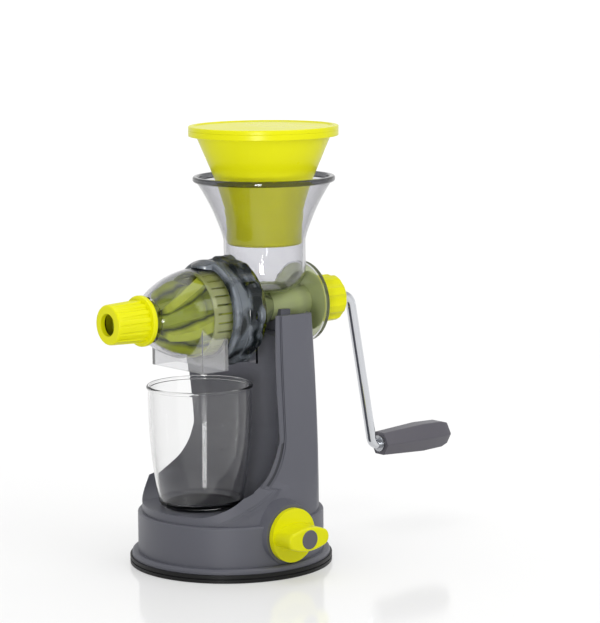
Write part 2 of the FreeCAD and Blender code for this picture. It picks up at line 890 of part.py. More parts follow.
def barrel_outside(doc, s):
    stop_rear = s.stop_front_x + s.stop_width
    disc_rear = s.disc_front_x + s.disc_thickness
    lip_inside = s.disc_radius - s.disc_lip
    return turned(doc, "barrel_outside", [
        (s.sleeve_front_x, 0.0),
        (s.sleeve_front_x, s.sleeve_radius),
        (s.stop_front_x, s.sleeve_radius),
        (s.stop_front_x, s.stop_radius),
        (stop_rear, s.stop_radius),
        (stop_rear, s.shoulder_radius),
        (s.shoulder_end_x, s.neck_radius),
        (s.disc_front_x, s.neck_radius),
        (s.disc_front_x, lip_inside),
        (s.disc_front_x - s.disc_lip, lip_inside),
        (s.disc_front_x - s.disc_lip, s.disc_radius),
        (disc_rear, s.disc_radius),
        (disc_rear, s.neck_radius),
        (s.neck_end_x, s.neck_radius),
        (s.neck_end_x, 0.0),
    ], X_AXIS)


def barrel_inside(doc, s):
    sleeve = s.sleeve_radius - s.sleeve_wall
    stop_rear = s.stop_front_x + s.stop_width
    neck = s.neck_radius - s.wall
    return turned(doc, "barrel_inside", [
        (s.sleeve_front_x - s.wall, 0.0),
        (s.sleeve_front_x - s.wall, sleeve),
        (s.stop_front_x, sleeve),
        (stop_rear, s.shoulder_radius - s.wall),
        (s.shoulder_end_x, neck),
        (s.neck_end_x + s.wall, neck),
        (s.neck_end_x + s.wall, 0.0),
    ], X_AXIS)


def bayonet_teeth(doc, s, name, front, width, inner, outer):
    """Short arcs spaced evenly round the barrel, the first one on the knob's side."""
    teeth = []
    count = int(s.bayonet_count.value)
    for index in range(count):
        tooth = turned(doc, f"{name}_{index + 1}", [
            (front, inner), (front, outer), (front + width, outer), (front + width, inner),
        ], X_AXIS)
        bind(tooth, Angle=s.bayonet_arc)
        middle = QUARTER_TURN + FULL_TURN * index / count
        tooth.Placement = Placement(Vector(), Rotation(X_AXIS, middle - s.bayonet_arc.value / 2))
        teeth.append(tooth)
    return teeth


def make_feed_housing(doc, s):
    """Hopper, barrel, rear disc, drip plate and bayonet teeth in one clear moulding."""
    drip_plate = box(doc, "drip_plate", s.stop_front_x, -s.drip_plate_half_width,
                     -s.drip_plate_depth, s.drip_plate_thickness,
                     s.drip_plate_half_width * 2, s.drip_plate_depth)
    lug = box(doc, "housing_lug", s.lug_front_x, -s.lug_width / 2, -s.lug_depth,
              s.lug_length, s.lug_width, s.lug_depth)
    teeth = bayonet_teeth(doc, s, "housing_tooth", s.sleeve_front_x + s.bayonet_setback,
                          s.bayonet_width, s.sleeve_radius - s.sleeve_wall / 2,
                          s.bayonet_radius)
    outside = joined(doc, "housing_block", [
        hopper_form(doc, s, "hopper_outside", as_size(0.0),
                    s.hopper_rim_height - s.hopper_rim_rounding * 2),
        hopper_rim(doc, s), barrel_outside(doc, s), drip_plate, lug] + teeth)
    inside = joined(doc, "housing_space", [
        hopper_form(doc, s, "hopper_inside", s.wall, s.hopper_rim_height + s.wall),
        barrel_inside(doc, s)])
    return keep(cut(doc, "housing_cut", outside, inside), "feed_housing", s.barrel_height)


# Bayonet ring, gasket and front cover ---------------------------------------------------------

def cover_flange_rear(s):
    return s.sleeve_front_x - s.gasket_thickness


def cover_flange_front(s):
    return cover_flange_rear(s) - s.cover_flange_width


def make_front_gasket(doc, s):
    body = new_body(doc, "front_gasket", s.barrel_height)
    inner = s.sleeve_radius - s.sleeve_wall
    revolve_in(body, "gasket_ring", [
        (cover_flange_rear(s), inner),
        (cover_flange_rear(s), s.sleeve_radius),
        (s.sleeve_front_x, s.sleeve_radius),
        (s.sleeve_front_x, inner),
    ], "X")
    return keep(body, "front_gasket")


def ring_oval(doc, s, name, turn, depth, length, height):
    """An oval as deep as given from the crest of the lobe at this turn."""
    crest = s.ring_radius + s.ring_lobe_rise
    oval = doc.addObject("Part::Ellipsoid", name)
    oval.Placement = Placement(Vector(), Rotation(X_AXIS, QUARTER_TURN - turn.value))
    bind(oval, Radius1=depth, Radius2=length / 2, Radius3=height / 2)
    bind(oval, Placement__Base__x=s.ring_rear_x - s.ring_lobe_length / 2,
         Placement__Base__y=-(crest * cosine(turn)), Placement__Base__z=crest * sine(turn))
    return oval


def ring_blank(doc, s):
    """Front rim, waist and rear band of the ring."""
    edge = s.ring_edge
    waist = s.ring_waist_depth
    rim_end = s.ring_front_x + edge + s.ring_rib_width
    band_start = rim_end + s.ring_waist_length + waist * 2
    return turned(doc, "ring_blank", [
        (s.ring_front_x, s.ring_lip_bore),
        (s.ring_front_x, s.ring_radius - edge),
        (s.ring_front_x + edge, s.ring_radius, edge, False),
        (rim_end, s.ring_radius),
        (rim_end + waist, s.ring_radius - waist),
        (band_start - waist, s.ring_radius - waist),
        (band_start, s.ring_radius),
        (s.ring_rear_x - edge / 2, s.ring_radius),
        (s.ring_rear_x, s.ring_radius - edge / 2, edge / 2, False),
        (s.ring_rear_x, s.ring_lip_bore),
    ], X_AXIS)


def ring_visor(doc, s):
    """The rounded peak that the ring carries on top, over the cover."""
    form = turned(doc, "visor_form", [
        (s.ring_front_x + s.ring_edge, s.ring_lip_bore),
        (s.ring_front_x - s.visor_reach, s.ring_lip_bore),
        (s.ring_front_x - s.visor_reach, s.visor_tip_radius),
        (s.ring_front_x + s.ring_edge, s.ring_radius),
    ], X_AXIS)
    outline = rod(doc, "visor_outline", s.visor_round, s.ring_radius,
                  x=s.ring_front_x - s.visor_reach + s.visor_round)
    return common(doc, "visor", [form, outline])


def make_lock_ring(doc, s):
    """Bayonet ring: visor, lobes with oval hollows, three windows and three inner hooks."""
    lobe_count = int(s.ring_lobe_count.value)
    window_step = lobe_count // int(s.bayonet_count.value)
    reach = s.ring_radius + s.ring_lobe_rise - s.ring_lobe_radius
    lobes, openings = [], []
    for index in range(lobe_count):
        turn = as_size(FULL_TURN * index) / s.ring_lobe_count
        lobes.append(rod(doc, f"ring_lobe_{index + 1}", s.ring_lobe_radius, s.ring_lobe_length,
                         x=s.ring_rear_x - s.ring_lobe_length, y=-(reach * cosine(turn)),
                         z=reach * sine(turn), axis=X_AXIS))
        openings.append(ring_oval(doc, s, f"ring_dimple_{index + 1}", turn,
                                  s.ring_dimple_depth, s.ring_dimple_length,
                                  s.ring_dimple_width))
        if index % window_step == 0:
            openings.append(ring_oval(doc, s, f"ring_window_{index + 1}", turn,
                                      s.ring_lobe_radius, s.ring_window_length,
                                      s.ring_window_height))
    block = joined(doc, "ring_block", [ring_blank(doc, s), ring_visor(doc, s)] + lobes)
    seat = cover_flange_front(s) - s.bayonet_gap
    bore = turned(doc, "ring_bore_form", [
        (s.ring_front_x - s.visor_reach * 2, 0.0),
        (s.ring_front_x - s.visor_reach * 2, s.ring_lip_bore),
        (seat, s.ring_lip_bore),
        (seat, s.ring_bore),
        (s.ring_rear_x + s.ring_edge, s.ring_bore),
        (s.ring_rear_x + s.ring_edge, 0.0),
    ], X_AXIS)
    hooks_front = s.sleeve_front_x + s.bayonet_setback + s.bayonet_width + s.bayonet_gap
    hooks = bayonet_teeth(doc, s, "ring_hook", hooks_front, s.bayonet_width,
                          s.ring_lip_bore, s.ring_bore + s.bayonet_gap)
    opened = cut(doc, "ring_opened", block, joined(doc, "ring_openings", [bore] + openings))
    ring = joined(doc, "ring_with_hooks", [opened] + hooks)
    return keep(ring, "lock_ring", s.barrel_height)


def cover_form(doc, s, name, inset, nose_end, rear, flange):
    """Nose tube, ogive and straight part of the cover, shrunk by inset."""
    nose = s.nose_tube_radius - (s.nose_tube_wall if inset.value else inset)
    corners = [
        (nose_end, 0.0),
        (nose_end, nose),
        (s.cover_nose_x + inset, nose),
        (s.cover_nose_x + inset, s.cover_nose_radius - inset),
        (s.cover_bend_x, s.cover_radius - inset, s.cover_bend, False),
    ]
    if flange:
        corners += [
            (cover_flange_front(s), s.cover_radius),
            (cover_flange_front(s), s.bayonet_radius),
            (rear, s.bayonet_radius),
        ]
    else:
        corners += [(rear, s.cover_radius - inset)]
    return turned(doc, name, corners + [(rear, 0.0)], X_AXIS)


def make_front_cover(doc, s):
    """Clear ogive with its flange, the nose tube and the open spout box below."""
    wall = s.spout_wall
    top = s.spout_depth - s.spout_top_depth
    spout = box(doc, "spout_outside", s.spout_front_x, -s.spout_half_width, -s.spout_depth,
                s.spout_length, s.spout_half_width * 2, top)
    channel = box(doc, "spout_inside", s.spout_front_x + wall, -(s.spout_half_width - wall),
                  -(s.spout_depth + wall), s.spout_length - wall * 2,
                  s.spout_half_width * 2 - wall * 2, top + wall)
    rear = cover_flange_rear(s)
    outside = joined(doc, "cover_block", [
        cover_form(doc, s, "cover_outside", as_size(0.0), s.nose_tube_end_x, rear, True), spout])
    inside = joined(doc, "cover_space", [
        cover_form(doc, s, "cover_inside", s.cover_wall, s.nose_tube_end_x - s.wall,
                   rear + s.wall, False), channel])
    return keep(cut(doc, "cover_cut", outside, inside), "front_cover", s.barrel_height)


def make_strainer(doc, s):
    """Slotted band that lies inside the cover over the spout."""
    outer = s.cover_radius - s.cover_wall - s.strainer_clearance
    inner = outer - s.strainer_wall
    body = new_body(doc, "strainer", s.barrel_height)
    revolve_in(body, "strainer_band", [
        (s.strainer_front_x, inner),
        (s.strainer_front_x, outer),
        (s.strainer_rear_x, outer),
        (s.strainer_rear_x, inner),
    ], "X")
    doc.recompute()
    half = s.strainer_slot_width / 2
    front = s.strainer_front_x + s.strainer_rim
    rear = s.strainer_rear_x - s.strainer_rim
    sketch = body_sketch(body, "slot_outline", "XY")
    draw_outline(sketch, [(front, -half), (rear, -half), (rear, half), (front, half)])
    slot = body.newObject("PartDesign::Pocket", "slot")
    slot.Profile = sketch
    slot.Reversed = True
    bind(slot, Length=outer + s.strainer_wall)
    doc.recompute()
    pattern_in(body, "slots", slot, "X", s.strainer_slot_count)
    return keep(body, "strainer")


def make_pulp_cap(doc, s):
    """Fluted cap on the nose tube, open in the middle for the pulp."""
    bore = s.nose_tube_radius + s.seat_clearance
    edge = s.cap_rim_rounding
    floor = s.cap_face_x + s.cap_face_thickness
    body = new_body(doc, "pulp_cap", s.barrel_height)
    revolve_in(body, "cap_turned", [
        (s.cap_face_x, s.cap_hole_radius),
        (s.cap_face_x, s.cap_face_radius - s.cap_edge),
        (s.cap_face_x + s.cap_edge, s.cap_face_radius, s.cap_edge, False),
        (s.cap_root_x, s.cap_root_radius),
        (s.cap_root_x, s.cap_rim_radius - edge),
        (s.cap_root_x + edge, s.cap_rim_radius, edge, False),
        (s.cap_rim_x - edge, s.cap_rim_radius),
        (s.cap_rim_x, s.cap_rim_radius - edge, edge, False),
        (s.cap_rim_x, bore),
        (floor, bore),
        (floor, s.cap_hole_radius),
    ], "X")
    doc.recompute()
    sketch = body_sketch(body, "flute_outline", "YZ", s.cap_face_x)
    draw_circle(sketch, 0.0, s.cap_face_radius + s.cap_flute_radius - s.cap_flute_depth,
                s.cap_flute_radius)
    flute = body.newObject("PartDesign::Pocket", "flute")
    flute.Profile = sketch
    flute.Reversed = True
    bind(flute, Length=s.cap_root_x - s.cap_face_x)
    doc.recompute()
    pattern_in(body, "flutes", flute, "X", s.cap_flute_count)
    return keep(body, "pulp_cap")


# Auger, shaft and crank -----------------------------------------------------------------------

def cover_inner_radius(s, x):
    """Radius inside the cover's ogive at x."""
    start = Vector(s.cover_nose_x.value, s.cover_nose_radius.value, 0)
    end = Vector(s.cover_bend_x.value, s.cover_radius.value, 0)
    if x >= end.x:
        return s.cover_radius.value - s.cover_wall.value
    circle = arc_between(start, end, s.cover_bend.value, False)
    rise = math.sqrt(circle.Radius ** 2 - (x - circle.Center.x) ** 2)
    return circle.Center.y + rise - s.cover_wall.value


def auger_profile(s):
    """Place, flight radius and core radius where the auger's form changes."""
    gap = s.auger_flight_clearance.value
    strainer_inside = s.strainer_wall.value + s.strainer_clearance.value
    nose, full = s.auger_nose_x.value, s.auger_full_x.value
    tip = s.auger_tip_radius.value
    nose_radius = s.auger_nose_radius.value
    groove = s.auger_nose_groove.value
    core = s.auger_core_radius.value
    profile = [(s.auger_tip_x.value, tip, tip - groove), (nose, nose_radius, nose_radius - groove)]
    first = nose + s.auger_step.value
    for x in (first, (first + full) / 2):
        flight = cover_inner_radius(s, x) - gap * 2
        profile.append((x, flight, core * flight / (flight + core) + groove))
    full_radius = s.cover_radius.value - s.cover_wall.value - strainer_inside - gap
    profile.append((full, full_radius, core))
    profile.append((s.strainer_rear_x.value, full_radius, core))
    profile.append((s.auger_rear_x.value, s.auger_feed_radius.value, core))
    profile.append((s.auger_feed_end_x.value, s.auger_feed_end_radius.value,
                    s.auger_root_radius.value))
    return profile


def auger_levels(s):
    """The profile cut into short steps, so that the twist runs smoothly."""
    profile = auger_profile(s)
    levels = [profile[0]]
    for start, end in zip(profile, profile[1:]):
        steps = math.ceil((end[0] - start[0]) / s.auger_step.value)
        for step in range(1, steps + 1):
            share = step / steps
            levels.append(tuple(a + (b - a) * share for a, b in zip(start, end)))
    return levels


def flighted_wire(s, x, flight, core):
    """One section of the auger: the core circle with a flight standing up at each start."""
    count = int(s.auger_start_count.value)
    pitch = FULL_TURN / count
    crest = pitch * s.auger_flight_share.value
    flank = crest * s.auger_flank_share.value
    twist = -s.auger_twist.value * x

    def at(radius, degrees):
        angle = math.radians(degrees + twist)
        return Vector(x, radius * math.cos(angle), radius * math.sin(angle))

    edges = []
    for index in range(count):
        start = index * pitch
        foot = start + crest + flank
        after = start + pitch - flank
        edges.append(Part.Arc(at(flight, start), at(flight, start + crest / 2),
                              at(flight, start + crest)).toShape())
        edges.append(Part.makeLine(at(flight, start + crest), at(core, foot)))
        edges.append(Part.Arc(at(core, foot), at(core, (foot + after) / 2),
                              at(core, after)).toShape())
        edges.append(Part.makeLine(at(core, after), at(flight, start + pitch)))
    return Part.Wire(edges)


def make_auger(doc, s):
    """Five-flight screw lofted level by level, with a tail bored for the shaft."""
    wires = [flighted_wire(s, *level) for level in auger_levels(s)]
    screw = Part.makeLoft(wires, True, True)
    flights = doc.addObject("Part::Feature", "auger_flights")
    flights.Shape = screw
    tail = rod(doc, "auger_tail", s.auger_root_radius, s.auger_tail_end_x - s.auger_feed_end_x,
               x=s.auger_feed_end_x, axis=X_AXIS)
    bore = rod(doc, "auger_bore", s.shaft_radius, s.auger_tail_end_x - s.shaft_front_x,
               x=s.shaft_front_x, axis=X_AXIS)
    auger = cut(doc, "auger_cut", joined(doc, "auger_block", [flights, tail]), bore)
    return keep(auger, "auger", s.barrel_height)


def make_plain_ring(doc, s, label, start, end, inner, outer, flange=None):
    """A ring on the barrel's axis, with an optional flange (radius, width) behind it."""
    corners = [(start, inner), (start, outer), (end, outer)]
    last = end
    if flange:
        last = end + flange[1]
        corners += [(end, flange[0]), (last, flange[0])]
    body = new_body(doc, label, s.barrel_height)
    revolve_in(body, label + "_turned", corners + [(last, inner)], "X")
    return keep(body, label)


def make_shaft_parts(doc, s):
    """The seals, the rear bush with its flange and the steel shaft."""
    neck = s.neck_radius - s.wall
    running = s.shaft_radius + s.running_gap
    make_plain_ring(doc, s, "auger_seal", s.auger_seal_x, s.auger_seal_x + s.auger_seal_width,
                    s.auger_root_radius, s.auger_root_radius + s.auger_seal_thickness)
    make_plain_ring(doc, s, "shaft_seal", s.bush_front_x - s.seal_width, s.bush_front_x,
                    running, neck)
    make_plain_ring(doc, s, "rear_bush", s.bush_front_x, s.neck_end_x, running, neck,
                    (s.bush_flange_radius, s.bush_flange_width))
    body = new_body(doc, "auger_shaft", s.barrel_height)
    sketch = body_sketch(body, "shaft_outline", "YZ", s.shaft_front_x)
    draw_circle(sketch, 0.0, 0.0, s.shaft_radius)
    pad = body.newObject("PartDesign::Pad", "shaft_bar")
    pad.Profile = sketch
    bind(pad, Length=s.shaft_end_x - s.shaft_front_x)
    keep(body, "auger_shaft")


def make_hub_nut(doc, s):
    """Round nut with shallow hollows that clamps the crank to the shaft."""
    edge = s.hub_rounding
    body = new_body(doc, "hub_nut", s.barrel_height)
    revolve_in(body, "hub_turned", [
        (s.hub_front_x, s.shaft_radius),
        (s.hub_front_x, s.hub_radius - edge / 2),
        (s.hub_front_x + edge / 2, s.hub_radius, edge / 2, False),
        (s.hub_end_x - edge, s.hub_radius),
        (s.hub_end_x, s.hub_radius - edge, edge, False),
        (s.hub_end_x, s.rod_radius),
        (s.shaft_end_x, s.rod_radius),
        (s.shaft_end_x, s.shaft_radius),
    ], "X")
    doc.recompute()
    sketch = body_sketch(body, "hub_flute_outline", "YZ", s.hub_front_x)
    draw_circle(sketch, 0.0, s.hub_radius + s.hub_flute_radius - s.hub_flute_depth,
                s.hub_flute_radius)
    flute = body.newObject("PartDesign::Pocket", "hub_flute")
    flute.Profile = sketch
    flute.Reversed = True
    bind(flute, Length=s.hub_end_x - s.hub_front_x)
    doc.recompute()
    pattern_in(body, "hub_flutes", flute, "X", s.hub_lobe_count)
    return keep(body, "hub_nut")


def make_crank_rod(doc, s):
    """One round bar: out of the nut, down the leaning arm and out along the grip pin."""
    run = s.crank_pin_x - s.crank_x
    arm = root(run * run + s.crank_length * s.crank_length)
    along, down = run / arm, -(s.crank_length / arm)
    ease = root((1.0 - along) / (1.0 + along))
    reach, low_reach = s.rod_bend * ease, s.rod_low_bend * ease
    pin_z = -s.crank_length
    body = new_body(doc, "crank_rod", s.barrel_height)
    path = body_sketch(body, "crank_path", "XZ")
    draw_outline(path, [
        (s.shaft_end_x, 0.0),
        (s.crank_x - reach, 0.0),
        (s.crank_x + reach * along, reach * down, s.rod_bend, False),
        (s.crank_pin_x - low_reach * along, pin_z - low_reach * down),
        (s.crank_pin_x + low_reach, pin_z, s.rod_low_bend, True),
        (s.pin_end_x, pin_z),
    ], closed=False)
    section = body_sketch(body, "crank_section", "YZ", s.shaft_end_x)
    draw_circle(section, 0.0, 0.0, s.rod_radius)
    doc.recompute()
    pipe = body.newObject("PartDesign::AdditivePipe", "crank_bar")
    pipe.Profile = section
    pipe.Spine = path
    return keep(body, "crank_rod")


# Grip -----------------------------------------------------------------------------------------

def hexagon(sketch, half, rounding):
    """Six sides with rounded corners; half is the distance from the middle to a side."""
    side_turn = as_size(FULL_TURN / 6)
    half_turn = side_turn / 2
    reach = (half - rounding) / cosine(half_turn)
    corners = []
    for index in range(6):
        turn = side_turn * index
        x, y = reach * cosine(turn), reach * sine(turn)
        before, after = turn - half_turn, turn + half_turn
        corners.append((x + rounding * cosine(before), y + rounding * sine(before)))
        corners.append((x + rounding * cosine(after), y + rounding * sine(after),
                        rounding, True))
    draw_outline(sketch, corners)


def make_grip(doc, s):
    """A six-sided handle that widens outward, bored for the pin."""
    body = new_body(doc, "crank_grip", s.barrel_height - s.crank_length)
    sketches = []
    for name, x, half in (("small", s.grip_start_x, s.grip_small_half),
                          ("wide", s.grip_wide_x, s.grip_wide_half),
                          ("shoulder", s.grip_shoulder_x, s.grip_shoulder_half),
                          ("end", s.grip_end_x, s.grip_end_half)):
        sketch = body_sketch(body, "grip_" + name, "YZ", x)
        hexagon(sketch, half, s.grip_edge)
        sketches.append(sketch)
    doc.recompute()
    loft = body.newObject("PartDesign::AdditiveLoft", "grip_form")
    loft.Profile = sketches[0]
    loft.Sections = sketches[1:]
    loft.Ruled = True
    doc.recompute()
    for name, x, radius, depth in (
            ("grip_bore", s.grip_start_x, s.rod_radius + s.grip_gap,
             s.grip_end_x - s.grip_start_x),
            ("grip_pocket", s.grip_end_x - s.grip_pocket_depth, s.grip_pocket_radius,
             s.grip_pocket_depth)):
        sketch = body_sketch(body, name + "_outline", "YZ", x)
        draw_circle(sketch, 0.0, 0.0, radius)
        pocket = body.newObject("PartDesign::Pocket", name)
        pocket.Profile = sketch
        pocket.Reversed = True
        bind(pocket, Length=depth)
        doc.recompute()
    return keep(body, "crank_grip")


def make_grip_fasteners(doc, s):
    """The washer before the grip and the nut in its outer end."""
    height = s.barrel_height - s.crank_length
    washer_front = s.grip_start_x - s.grip_gap - s.grip_washer_width
    nut_front = s.pin_end_x - s.grip_nut_width
    for label, start, end, radius in (
            ("grip_washer", washer_front, washer_front + s.grip_washer_width,
             s.grip_washer_radius),
            ("grip_nut", nut_front, s.pin_end_x, s.grip_nut_radius)):
        body = new_body(doc, label, height)
        revolve_in(body, label + "_turned", [
            (start, s.rod_radius), (start, radius), (end, radius), (end, s.rod_radius)], "X")
        keep(body, label)


# Pusher and cup -------------------------------------------------------------------------------

def make_pusher(doc, s):
    """Trumpet-shaped bowl that slides in the hopper, and the lid that closes it."""
    top = s.pusher_flange_height + s.pusher_flange_thickness - s.pusher_lid_thickness
    wall = s.pusher_wall
    edge = s.pusher_edge
    foot = s.pusher_foot_radius
    body = new_body(doc, "pusher", s.barrel_height)
    bind(body, Placement__Base__x=s.hopper_x)
    revolve_in(body, "pusher_bowl", [
        (0.0, s.pusher_foot_height),
        (foot - edge, s.pusher_foot_height),
        (foot, s.pusher_foot_height + edge, edge, True),
        (foot, s.pusher_taper_height),
        (s.pusher_neck_radius, s.pusher_neck_height, s.pusher_neck_bend, False),
        (s.pusher_shoulder_radius, s.pusher_flange_height),
        (s.pusher_flange_radius, s.pusher_flange_height),
        (s.pusher_flange_radius, top),
        (s.pusher_shoulder_radius - wall, top),
        (s.pusher_neck_radius - wall, s.pusher_neck_height),
        (foot - wall, s.pusher_taper_height, s.pusher_neck_bend, True),
        (foot - wall, s.pusher_foot_height + wall),
        (0.0, s.pusher_foot_height + wall),
    ], "Z")
    keep(body, "pusher")
    lid = new_body(doc, "pusher_lid", s.barrel_height)
    bind(lid, Placement__Base__x=s.hopper_x)
    plug = s.pusher_shoulder_radius - wall * 2
    lid_top = top + s.pusher_lid_thickness
    band = s.pusher_flange_radius - s.pusher_lid_band
    rim = s.pusher_lid_recess
    revolve_in(lid, "lid_turned", [
        (0.0, top),
        (plug - wall, top),
        (plug - wall, top - s.pusher_lid_plug),
        (plug, top - s.pusher_lid_plug),
        (plug, top),
        (s.pusher_flange_radius, top),
        (s.pusher_flange_radius, lid_top - rim),
        (s.pusher_flange_radius - rim, lid_top, rim, True),
        (band, lid_top),
        (band - rim, lid_top - rim),
        (0.0, lid_top - rim),
    ], "Z")
    keep(lid, "pusher_lid")


def make_cup(doc, s):
    """Tumbler with gently bowed sides and a rounded bead at the rim."""
    wall = s.cup_wall
    rim = s.cup_rim_radius
    base = s.cup_base_radius
    bend = s.cup_base_bend
    bead = s.cup_bead / 2
    tall = s.cup_top - s.bay_floor
    body = new_body(doc, "juice_cup", s.bay_floor)
    bind(body, Placement__Base__x=s.cup_x)
    revolve_in(body, "cup_turned", [
        (0.0, 0.0),
        (base - bend, 0.0),
        (base, bend, bend, True),
        (rim - bead, tall - s.cup_bead, s.cup_side_bend, True),
        (rim - bead, tall, s.cup_bead_radius, True),
        (rim - bead - wall, tall - wall / 2),
        (base - wall, bend, s.cup_side_bend, False),
        (base - bend, s.cup_floor),
        (0.0, s.cup_floor),
    ], "Z")
    return keep(body, "juice_cup")


# Lock knob and pull stem ----------------------------------------------------------------------

def knob_back(s):
    return s.boss_face_y - s.knob_gap


def knob_front(s):
    return knob_back(s) - s.knob_thickness


def bar_face(s):
    return knob_front(s) - s.bar_reach


def make_lock_knob(doc, s):
    """Round disc with a lens-shaped grip bar; local z = 0 is the shaft's axis."""
    disc = rod(doc, "knob_disc", s.knob_radius, s.knob_thickness, y=knob_front(s), axis=Y_AXIS)
    length, middle, end = s.bar_half_length, s.bar_half_height, s.bar_end_half_height
    rise = middle - end
    bow = (length * length + rise * rise) / (rise * 2)
    outline = free_sketch(doc, "bar_outline", "XZ", [
        (-length, -end, s.bar_end_radius, True), (length, -end, bow, True),
        (length, end, s.bar_end_radius, True), (-length, end, bow, True)])
    bind(outline, Placement__Base__y=bar_face(s))
    bar = doc.addObject("Part::Extrusion", "knob_bar")
    bar.Base = outline
    bar.DirMode = "Custom"
    bar.Dir = Y_AXIS
    bar.Solid = True
    bind(bar, LengthFwd=s.bar_reach + s.knob_thickness)
    doc.recompute()
    rounded = doc.addObject("Part::Fillet", "knob_bar_rounded")
    rounded.Base = bar
    rounded.Edges = [(index, s.bar_rounding.value, s.bar_rounding.value)
                     for index, edge in enumerate(bar.Shape.Edges, start=1)
                     if max(vertex.Point.y for vertex in edge.Vertexes) < knob_front(s).value]
    block = joined(doc, "knob_block", [disc, rounded])
    head_rear = bar_face(s) + s.insert_depth + s.knob_screw_head_height
    shaft_length = knob_back(s) - s.cam_shaft_start_y
    holes = [
        rod(doc, "knob_shaft_bore", s.cam_shaft_radius, shaft_length, y=s.cam_shaft_start_y,
            axis=Y_AXIS),
        rod(doc, "knob_screw_bore", s.knob_screw_radius, shaft_length + s.knob_screw_length,
            y=bar_face(s), axis=Y_AXIS),
        rod(doc, "knob_head_bore", s.knob_screw_head_radius, head_rear - bar_face(s),
            y=bar_face(s), axis=Y_AXIS),
        rod(doc, "knob_insert_bore", s.insert_radius, s.insert_depth, y=bar_face(s),
            axis=Y_AXIS),
    ]
    knob = cut(doc, "knob_cut", block, joined(doc, "knob_holes", holes))
    keep(knob, "lock_knob", s.knob_height)
    insert = rod(doc, "insert_disc", s.insert_radius, s.insert_depth + s.insert_rise,
                 y=bar_face(s) - s.insert_rise, axis=Y_AXIS)
    keep(insert, "knob_insert", s.knob_height)
    head = rod(doc, "screw_head", s.knob_screw_head_radius, s.knob_screw_head_height,
               y=bar_face(s) + s.insert_depth, axis=Y_AXIS)
    shank = rod(doc, "screw_shank", s.knob_screw_radius, s.knob_screw_length,
                y=head_rear, axis=Y_AXIS)
    keep(joined(doc, "screw_joined", [head, shank]), "knob_screw", s.knob_height)
    bar_part = rod(doc, "shaft_bar_part", s.cam_shaft_radius,
                   s.cam_shaft_end_y - s.cam_shaft_start_y, y=s.cam_shaft_start_y, axis=Y_AXIS)
    cam = rod(doc, "cam_disc", s.cam_radius, s.cam_half_width * 2, y=-s.cam_half_width,
              z=-s.cam_throw, axis=Y_AXIS)
    tap = rod(doc, "shaft_tap", s.knob_screw_radius, s.knob_screw_length, y=head_rear,
              axis=Y_AXIS)
    shaft = cut(doc, "cam_shaft_cut", joined(doc, "cam_shaft_block", [bar_part, cam]), tap)
    keep(shaft, "cam_shaft", s.knob_height)


def make_pull_stem(doc, s):
    """Head under the plate, round stem and the window that the cam lifts."""
    low = s.knob_height - s.cam_throw - s.cam_radius - s.stem_window_base
    high = s.knob_height - s.cam_throw + s.cam_radius + s.stem_window_top
    half = s.cam_radius + s.cam_throw + s.stem_window_side
    wall = s.stem_window_wall
    depth = s.stem_half_thickness
    foot = s.pad_thickness - s.stem_head_height
    head = rod(doc, "stem_head", s.stem_head_radius, s.stem_head_height, z=foot)
    stem = rod(doc, "stem_bar", s.stem_radius, low - wall / 2 - foot, z=foot)
    frame = box(doc, "stem_frame", -(half + wall), -depth, low - wall, (half + wall) * 2,
                depth * 2, high - low + wall * 2)
    window = box(doc, "stem_window", -half, -(depth + wall), low, half * 2,
                 (depth + wall) * 2, high - low)
    stem = cut(doc, "stem_cut", joined(doc, "stem_block", [head, stem, frame]), window)
    return keep(stem, "pull_stem")


def build():
    doc = FreeCAD.newDocument("juicer")
    s = Sheet(doc)
    makers = [
        make_suction_pad, make_pad_plate, make_base_screws, make_stand, make_feed_housing,
        make_front_gasket, make_lock_ring, make_front_cover, make_strainer, make_pulp_cap,
        make_auger, make_shaft_parts, make_hub_nut, make_crank_rod, make_grip,
        make_grip_fasteners, make_pusher, make_cup, make_lock_knob, make_pull_stem,
    ]
    for make in makers:
        make(doc, s)
    doc.recompute()
    return doc


def write_parts(doc):
    """Stop on any failed object, then write each sub-part."""
    failed = [item.Label for item in doc.Objects
              if "Invalid" in item.State or "Error" in item.State]
    if failed:
        raise RuntimeError("failed objects: " + ", ".join(failed))
    os.makedirs("parts", exist_ok=True)
    for label in LABELS:
        shape = doc.getObjectsByLabel(label)[0].Shape
        if shape.isNull() or not shape.isValid():
            raise RuntimeError("bad shape: " + label)
        print(label, len(shape.Solids), "solids", round(shape.Volume / 1000.0, 2), "cm3")
        shape.exportStep(f"parts/{label}.step")


write_parts(build())
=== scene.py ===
import json
import math

import bmesh
import bpy
from mathutils import Matrix, Vector


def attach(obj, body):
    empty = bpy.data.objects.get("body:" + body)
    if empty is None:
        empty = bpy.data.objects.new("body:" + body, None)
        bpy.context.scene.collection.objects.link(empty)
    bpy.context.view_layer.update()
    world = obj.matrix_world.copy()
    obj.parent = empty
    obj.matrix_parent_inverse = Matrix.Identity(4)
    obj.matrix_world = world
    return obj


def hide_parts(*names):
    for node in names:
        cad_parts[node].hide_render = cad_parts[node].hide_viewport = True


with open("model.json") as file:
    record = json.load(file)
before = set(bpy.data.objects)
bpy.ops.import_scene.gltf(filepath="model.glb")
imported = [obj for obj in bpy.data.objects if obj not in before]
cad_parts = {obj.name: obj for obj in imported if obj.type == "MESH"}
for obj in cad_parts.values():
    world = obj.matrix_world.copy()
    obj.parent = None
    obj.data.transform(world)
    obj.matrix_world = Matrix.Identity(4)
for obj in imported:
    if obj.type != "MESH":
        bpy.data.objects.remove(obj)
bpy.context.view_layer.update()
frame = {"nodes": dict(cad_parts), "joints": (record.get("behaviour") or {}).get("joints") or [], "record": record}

# The juicer's looks, light and camera. Lengths are metres in the frame, or millimetres where
# they are multiplied by MM, and angles are degrees.
MM = 0.001

